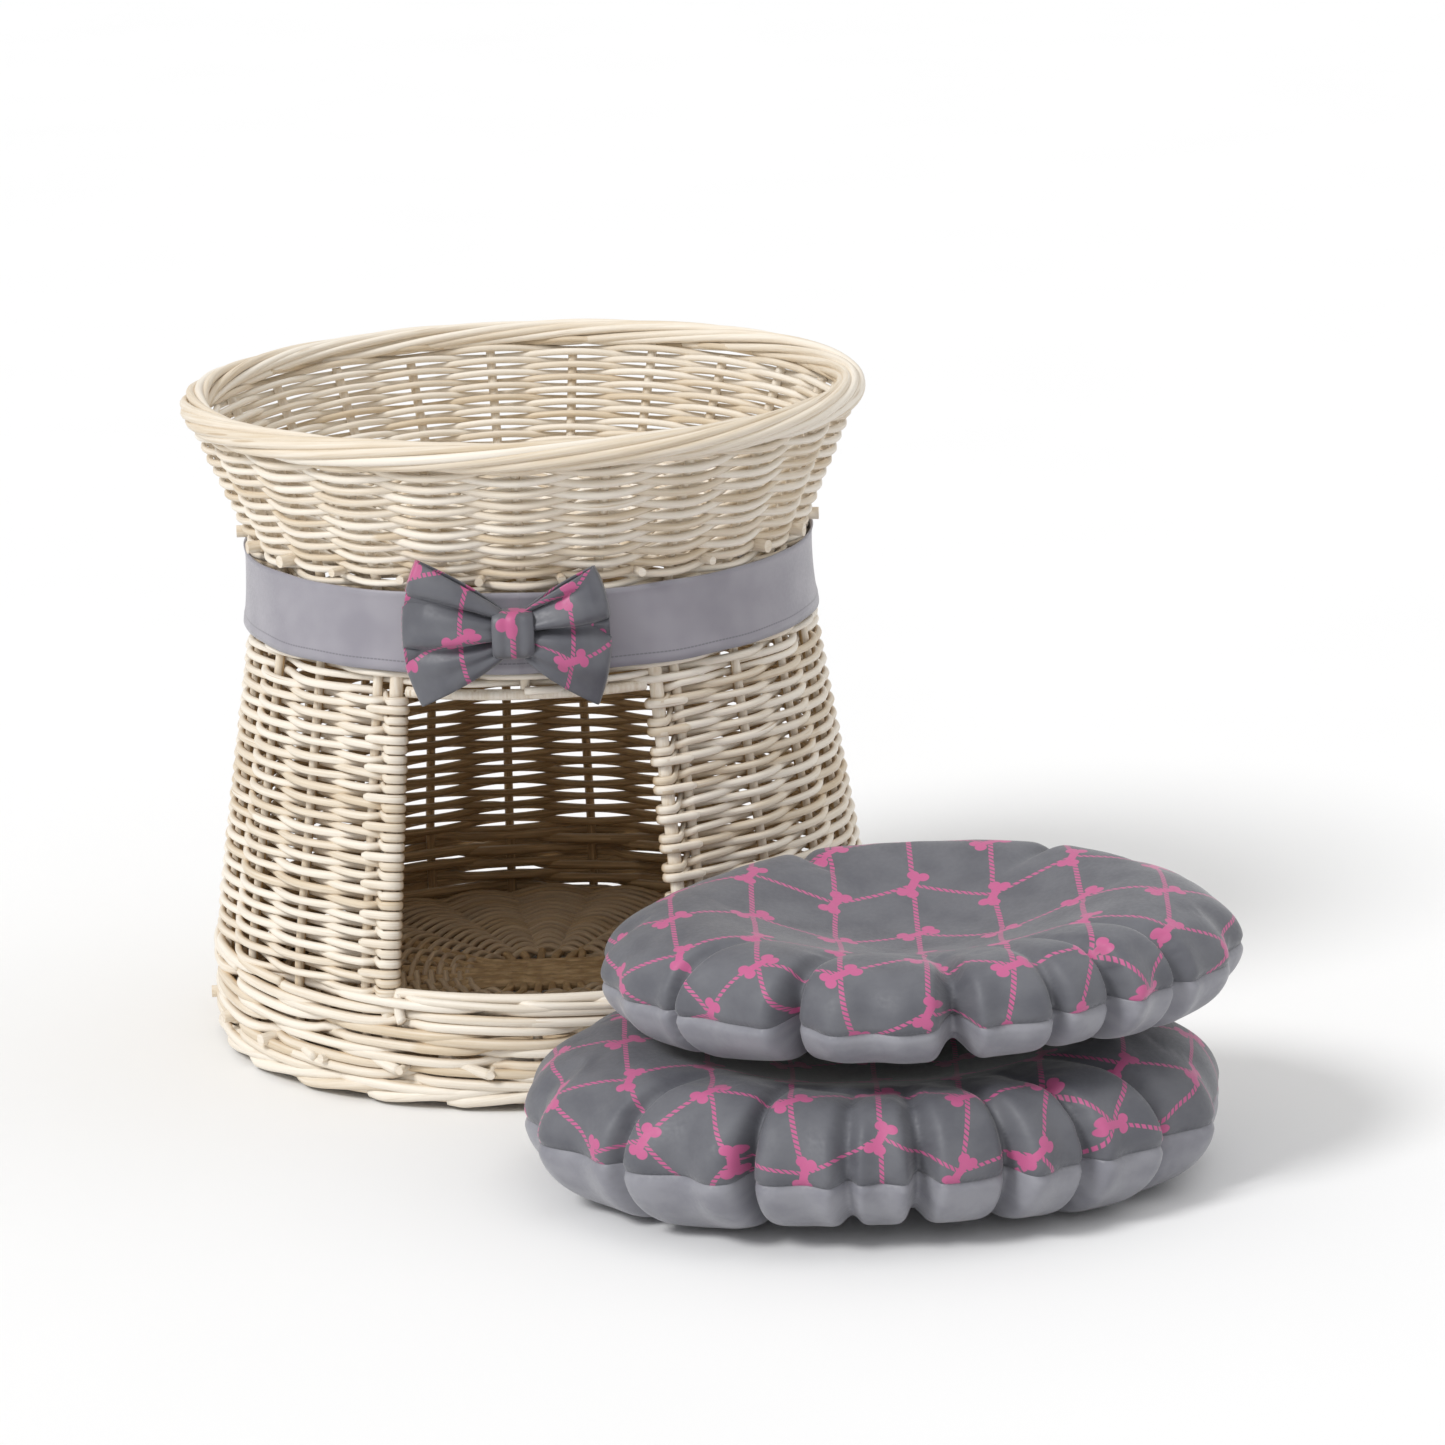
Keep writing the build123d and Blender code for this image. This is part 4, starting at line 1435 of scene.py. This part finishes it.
@dataclass
class StuffedCushion:
    """A round cushion of two cloth discs sewn at the edge and stuffed: printed above and plain
    below, with a thick round edge, gathers along the seam and a hollow in its top."""

    name: str
    body: Body
    length: float
    width: float
    thick: float
    dish: float
    fill: float
    seed: int
    tilt: float = 0.0
    pinches: Folds = ()
    gathers: tuple[int, ...] = (17, 22, 27)
    fullness: float = 1.05
    rings: int = 48
    pressure: float = 4.0
    frames: int = 24
    cap: float = 0.020
    seam_depth: float = 0.0030

    @cached_property
    def box(self) -> tuple[np.ndarray, np.ndarray]:
        """The lowest and highest corner of the cushion's place."""
        names = [f"{self.name}_{part}" for part in ("bottom_cover", "top_cover", "fill")]
        boxes = [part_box(name) for name in names]
        return np.min([b[0] for b in boxes], axis=0), np.max([b[1] for b in boxes], axis=0)

    def disc(self) -> tuple[np.ndarray, np.ndarray, np.ndarray]:
        """A round mesh of even triangles: the points of a hexagon of a triangular lattice, with
        each hexagonal ring pushed out to a circle.

        Returns:
            (N, 2) points in the unit circle, (M, 3) triangles and (N,) True on the edge.
        """
        n = self.rings
        q, r = np.meshgrid(np.arange(-n, n + 1), np.arange(-n, n + 1), indexing="ij")
        ring = np.maximum(np.maximum(np.abs(q), np.abs(r)), np.abs(q + r))
        use = ring <= n
        number = np.full(q.shape, -1)
        number[use] = np.arange(use.sum())
        x, y = q + r / 2, r * math.sqrt(3) / 2
        angle = np.arctan2(y, x) % (2 * math.pi)
        sector = np.floor(angle / (math.pi / 3) + 1e-9)
        slope = np.tan(angle - sector * math.pi / 3)
        share = 2 * slope / (math.sqrt(3) + slope)
        angle = (sector + share) * math.pi / 3
        points = np.stack([ring / n * np.cos(angle), ring / n * np.sin(angle)], -1)[use]
        a, b, c, d = number[:-1, :-1], number[1:, :-1], number[:-1, 1:], number[1:, 1:]
        halves = np.stack([a, b, c], -1), np.stack([b, d, c], -1)
        tris = np.concatenate([half.reshape(-1, 3) for half in halves])
        return points, tris[(tris >= 0).all(1)], (ring == n)[use]

    def puffed(self, disc: np.ndarray, side: float) -> tuple[np.ndarray, np.ndarray]:
        """One side of the stuffed cushion, before its cloth gathers, and its flat cloth.

        Going out from the middle the way runs level, then round a quarter circle of half the
        thickness to the seam; the top is hollowed by depth times (1 - distance squared) to the 1.5.
        Near the seam the radius has small waves and deeper pinches, each a bell curve, and each
        pinch goes on inwards as a shallow fold.

        Args:
            disc: (N, 2) points in the unit circle.
            side: 1 for the top and -1 for the underside.

        Returns:
            (N, 3) points of the stuffed side and (N, 2) places on its flat cloth.
        """
        rng = np.random.default_rng(self.seed)
        share, angle = np.hypot(disc[:, 0], disc[:, 1]), np.arctan2(disc[:, 1], disc[:, 0])
        reach = 1 / np.hypot(np.cos(angle) * 2 / self.length, np.sin(angle) * 2 / self.width)
        edge = self.thick / 2
        way = share * (reach - edge + edge * math.pi / 2)
        bend = np.clip((way - reach + edge) / edge, 0, math.pi / 2)
        radius = np.minimum(way, reach - edge) + edge * np.sin(bend)
        height = side * edge * np.cos(bend)
        if side > 0:
            height = height - self.dish * np.clip(1 - (radius / (0.80 * reach)) ** 2, 0, None) ** 1.5
        weight = np.sin(bend) ** 1.3
        waves = sum(
            rng.uniform(0.5, 1) * np.cos(k * angle + rng.uniform(0, 6.28)) for k in self.gathers
        )
        radius = radius + weight * (0.0028 * waves - 0.004)
        fold = 0.7 * np.clip((share - 0.45) / 0.3, 0, 1) * np.cos(bend)
        for degrees, depth, spread in self.pinches:
            off = (angle - math.radians(degrees) + math.pi) % (2 * math.pi) - math.pi
            groove = depth * np.exp(-((off * reach / spread) ** 2))
            radius, height = radius - weight * groove, height - side * fold * groove
        direction = np.stack([np.cos(angle), np.sin(angle)], -1)
        return np.column_stack([direction * radius[:, None], height]), direction * way[:, None]

    def pattern(self) -> tuple[np.ndarray, np.ndarray, np.ndarray, np.ndarray]:
        """The two puffed sides joined at the seam.

        Returns:
            Points, triangles, the side (0 top, 1 bottom) of each triangle, and each point's
            place on the flat cloth.
        """
        disc, tris, edge = self.disc()
        (top, flat), (low, _) = self.puffed(disc, 1.0), self.puffed(disc, -1.0)
        inner = np.flatnonzero(~edge)
        number = np.arange(len(disc))
        number[inner] = len(disc) + np.arange(len(inner))
        faces = np.concatenate([tris, number[tris][:, ::-1]])
        sides = np.repeat([0, 1], len(tris))
        cloth = np.column_stack([flat, np.zeros(len(flat))])
        return np.concatenate([top, low[inner]]), faces, sides, np.concatenate([cloth, cloth[inner]])

    def stuff(self, piece: Any, points: np.ndarray, cloth: np.ndarray) -> np.ndarray:
        """Lets the cover gather as cloth under pressure: its cut size is that of the flat discs,
        whose edge is longer than the seam. No point goes further than the cap.

        Args:
            piece: the cover's object.
            points: (N, 3) its points.
            cloth: (N, 3) their places on the flat cloth.

        Returns:
            (N, 3) the points of the gathered cover.
        """
        piece.shape_key_add(name="stuffed")
        cut = piece.shape_key_add(name="cut")
        cut.data.foreach_set("co", (cloth * self.fullness).astype(np.float32).ravel())
        modifier = piece.modifiers.new("stuffing", "CLOTH")
        settings = modifier.settings
        settings.quality = 6
        settings.mass = 0.3
        settings.tension_stiffness = settings.compression_stiffness = 15
        settings.shear_stiffness = 5
        settings.bending_stiffness = 0.5
        settings.use_pressure = True
        settings.uniform_pressure_force = self.pressure
        settings.rest_shape_key = cut
        settings.effector_weights.gravity = 0
        modifier.collision_settings.use_collision = False
        modifier.point_cache.frame_start, modifier.point_cache.frame_end = 1, self.frames
        for number in range(1, self.frames + 1):
            bpy.context.scene.frame_set(number)
        solved = piece.evaluated_get(bpy.context.evaluated_depsgraph_get())
        moved = np.empty(len(points) * 3, np.float32)
        solved.data.vertices.foreach_get("co", moved)
        piece.modifiers.remove(modifier)
        piece.shape_key_clear()
        bpy.context.scene.frame_set(1)
        move = moved.reshape(-1, 3) - points
        far = np.maximum(np.linalg.norm(move, axis=1, keepdims=True), 1e-9)
        LOG.info("%s: cloth moved %.1f mm at most", self.name, far.max() * 1000)
        return points + move / far * self.cap * np.tanh(far / self.cap)

    def settle(self, points: np.ndarray) -> np.ndarray:
        """Lays the cushion in its place: fitted to its length, width and thickness, with its
        underside flattened by a soft floor, and tilted so that one end lies higher.

        Args:
            points: (N, 3) the cushion's points, centred on it.

        Returns:
            (N, 3) the points in their place.
        """
        low, high = self.box
        points = points - (points.min(0) + points.max(0)) / 2
        size = points.max(0) - points.min(0)
        points = points * [self.length / size[0], self.width / size[1], self.thick * 1.06 / size[2]]
        soft = 0.004
        points[:, 2] = soft * np.logaddexp(0, (points[:, 2] + self.thick * 0.47) / soft)
        points[:, 2] -= points[:, 2].min()
        points[:, 2] *= self.thick / points[:, 2].max()
        middle = (low + high) / 2
        c, s = math.cos(self.tilt), math.sin(self.tilt)
        x, z = points[:, 0] * c - points[:, 2] * s, points[:, 0] * s + points[:, 2] * c
        return np.column_stack([x + middle[0], points[:, 1] + middle[1], z - z.min() + low[2]])

    def build(self, finishes: Finishes) -> None:
        """Stuffs, settles and smooths the cushion, then parts it at its seam.

        Args:
            finishes: the materials.
        """
        points, faces, sides, cloth = self.pattern()
        mesh = bpy.data.meshes.new(self.name)
        mesh.from_pydata(points.tolist(), [], faces.tolist(), shade_flat=False)
        piece = bpy.data.objects.new(self.name, mesh)
        bpy.context.scene.collection.objects.link(piece)
        points = self.stuff(piece, points, cloth)
        seam = np.intersect1d(faces[sides == 0], faces[sides == 1])
        points[seam] -= unit(points[seam] * [1, 1, 0]) * self.seam_depth
        mesh.vertices.foreach_set("co", self.settle(points).astype(np.float32).ravel())
        layer = mesh.attributes.new("cloth", "FLOAT_VECTOR", "POINT")
        layer.data.foreach_set("vector", cloth.astype(np.float32).ravel())
        for material in (finishes.print, finishes.plain):
            mesh.materials.append(material)
        mesh.polygons.foreach_set("material_index", sides.astype(np.int32))
        smooth = piece.modifiers.new("smooth", "SUBSURF")
        smooth.levels = smooth.render_levels = 1
        solved = piece.evaluated_get(bpy.context.evaluated_depsgraph_get()).data
        self.part(solved, finishes)
        bpy.data.objects.remove(piece)

    def part(self, mesh: Any, finishes: Finishes) -> None:
        """Makes the two halves, each closed inside the cushion by a fan from its seam.

        Args:
            mesh: the smoothed cover.
            finishes: the materials.
        """
        points = np.empty(len(mesh.vertices) * 3, np.float32)
        mesh.vertices.foreach_get("co", points)
        cloth = np.empty(len(mesh.vertices) * 3, np.float32)
        mesh.attributes["cloth"].data.foreach_get("vector", cloth)
        corners = np.empty(len(mesh.loops), np.int32)
        mesh.loops.foreach_get("vertex_index", corners)
        index = np.empty(len(mesh.polygons), np.int32)
        mesh.polygons.foreach_get("material_index", index)
        points, cloth = points.reshape(-1, 3).astype(float), cloth.reshape(-1, 3)
        quads = corners.reshape(-1, 4)
        for side, part, slot, material, nodes in (
            (0, "top", "cushion_print", finishes.print, ("top_cover", "fill")),
            (1, "bottom", "cushion_plain", finishes.plain, ("bottom_cover",)),
        ):
            chosen = quads[index == side]
            edges = np.concatenate([chosen[:, [i, (i + 1) % 4]] for i in range(4)])
            ends = np.sort(edges, 1)
            _, first, counts = np.unique(ends, axis=0, return_index=True, return_counts=True)
            rim = edges[first[counts == 1]]
            used, packed = np.unique(chosen, return_inverse=True)
            lookup = np.full(len(points), -1)
            lookup[used] = np.arange(len(used))
            middle = points[rim[:, 0]].mean(0)
            fan = np.column_stack([lookup[rim[:, 1]], lookup[rim[:, 0]], np.full(len(rim), len(used))])
            draft = Draft()
            draft.add(
                np.concatenate([points[used], middle[None]]),
                packed.reshape(-1, 4),
                fan,
                cloth=np.concatenate([cloth[used], cloth[rim[:, 0]].mean(0)[None]]),
            )
            half = draft.piece(f"{self.name}_{part}", material)
            fit(half, self.body, slot, *(f"{self.name}_{node}" for node in nodes))


# ---------------------------------------------------------------- studio


@dataclass
class Studio:
    """Pale floor, soft lights and the camera."""

    camera_place: tuple[float, float, float] = (0.13898, -4.1149, 1.2559)
    lens: float = 141.47
    down: float = math.radians(14.114)
    roll: float = math.radians(-1.823)

    def sun(
        self, name: str, come_from: tuple[float, float, float], power: float, wide: float
    ) -> None:
        """One far soft light.

        Args:
            name: its name.
            come_from: the direction that it comes from.
            power: its strength.
            wide: how wide it looks from the object, in degrees.
        """
        data = bpy.data.lights.new(name, "SUN")
        data.energy, data.angle = power, math.radians(wide)
        lamp = bpy.data.objects.new(name, data)
        lamp.rotation_euler = (-Vector(come_from)).to_track_quat("-Z", "Y").to_euler()
        bpy.context.scene.collection.objects.link(lamp)

    def camera(self) -> None:
        """The camera looks down by its angle and leans a little to one side."""
        data = bpy.data.cameras.new("camera")
        data.lens, data.sensor_width, data.clip_end = self.lens, 36.0, 60.0
        eye = bpy.data.objects.new("camera", data)
        x = Vector((1, 0, 0))
        up = Vector((0, math.sin(self.down), math.cos(self.down)))
        back = Vector((0, -math.cos(self.down), math.sin(self.down)))
        right = x * math.cos(self.roll) + up * math.sin(self.roll)
        top = up * math.cos(self.roll) - x * math.sin(self.roll)
        turn = Matrix((right, top, back)).transposed()
        eye.matrix_world = Matrix.Translation(self.camera_place) @ turn.to_4x4()
        bpy.context.scene.collection.objects.link(eye)
        bpy.context.scene.camera = eye

    def build(self) -> None:
        """Makes the floor, the lights and the camera."""
        scene = bpy.context.scene
        scene.view_settings.view_transform = "Standard"
        side = 14.0
        mesh = bpy.data.meshes.new("studio_floor")
        corners = [(-side, -side, 0), (side, -side, 0), (side, side, 0), (-side, side, 0)]
        mesh.from_pydata(corners, [], [(0, 1, 2, 3)])
        mesh.materials.append(StudioFloor().make())
        floor = bpy.data.objects.new("studio_floor", mesh)
        scene.collection.objects.link(floor)
        world = bpy.data.worlds.new("studio")
        scene.world = world
        world.use_nodes = True
        backdrop = world.node_tree.nodes["Background"]
        backdrop.inputs["Color"].default_value = (1.0, 1.0, 1.0, 1.0)
        backdrop.inputs["Strength"].default_value = 0.62
        self.sun("key", (-0.95, -0.75, 1.15), 1.75, 18)
        self.sun("top", (0.45, 0.15, 1.0), 0.55, 60)
        self.camera()


def main() -> None:
    """Builds the basket, its cloth, the cushions and the studio."""
    logging.basicConfig(level=logging.INFO, format="%(name)s %(message)s")
    finishes = Finishes()
    basket = Basket()
    basket.build(finishes)
    WaistBand().build(basket.wall, finishes)
    Bow().build(finishes)
    StuffedCushion(
        "lower_cushion", Body.LOWER_CUSHION, 0.480, 0.384, 0.106, 0.044, 0.7, 41,
        pinches=(
            (-146, 0.014, 0.007), (-118, 0.022, 0.007), (-97, 0.017, 0.006), (-82, 0.026, 0.007),
            (-63, 0.020, 0.007), (-46, 0.019, 0.006), (-28, 0.014, 0.007), (60, 0.016, 0.008),
            (110, 0.018, 0.008),
        ),
    ).build(finishes)
    StuffedCushion(
        "upper_cushion", Body.UPPER_CUSHION, 0.440, 0.356, 0.084, 0.048, 0.65, 43,
        tilt=math.radians(1.5),
        pinches=(
            (-150, 0.014, 0.007), (-122, 0.028, 0.008), (-84, 0.036, 0.009), (-62, 0.015, 0.006),
            (-47, 0.020, 0.007), (-30, 0.013, 0.006), (50, 0.016, 0.008), (120, 0.018, 0.008),
        ),
    ).build(finishes)
    Studio().build()


if __name__ == "__main__":
    main()
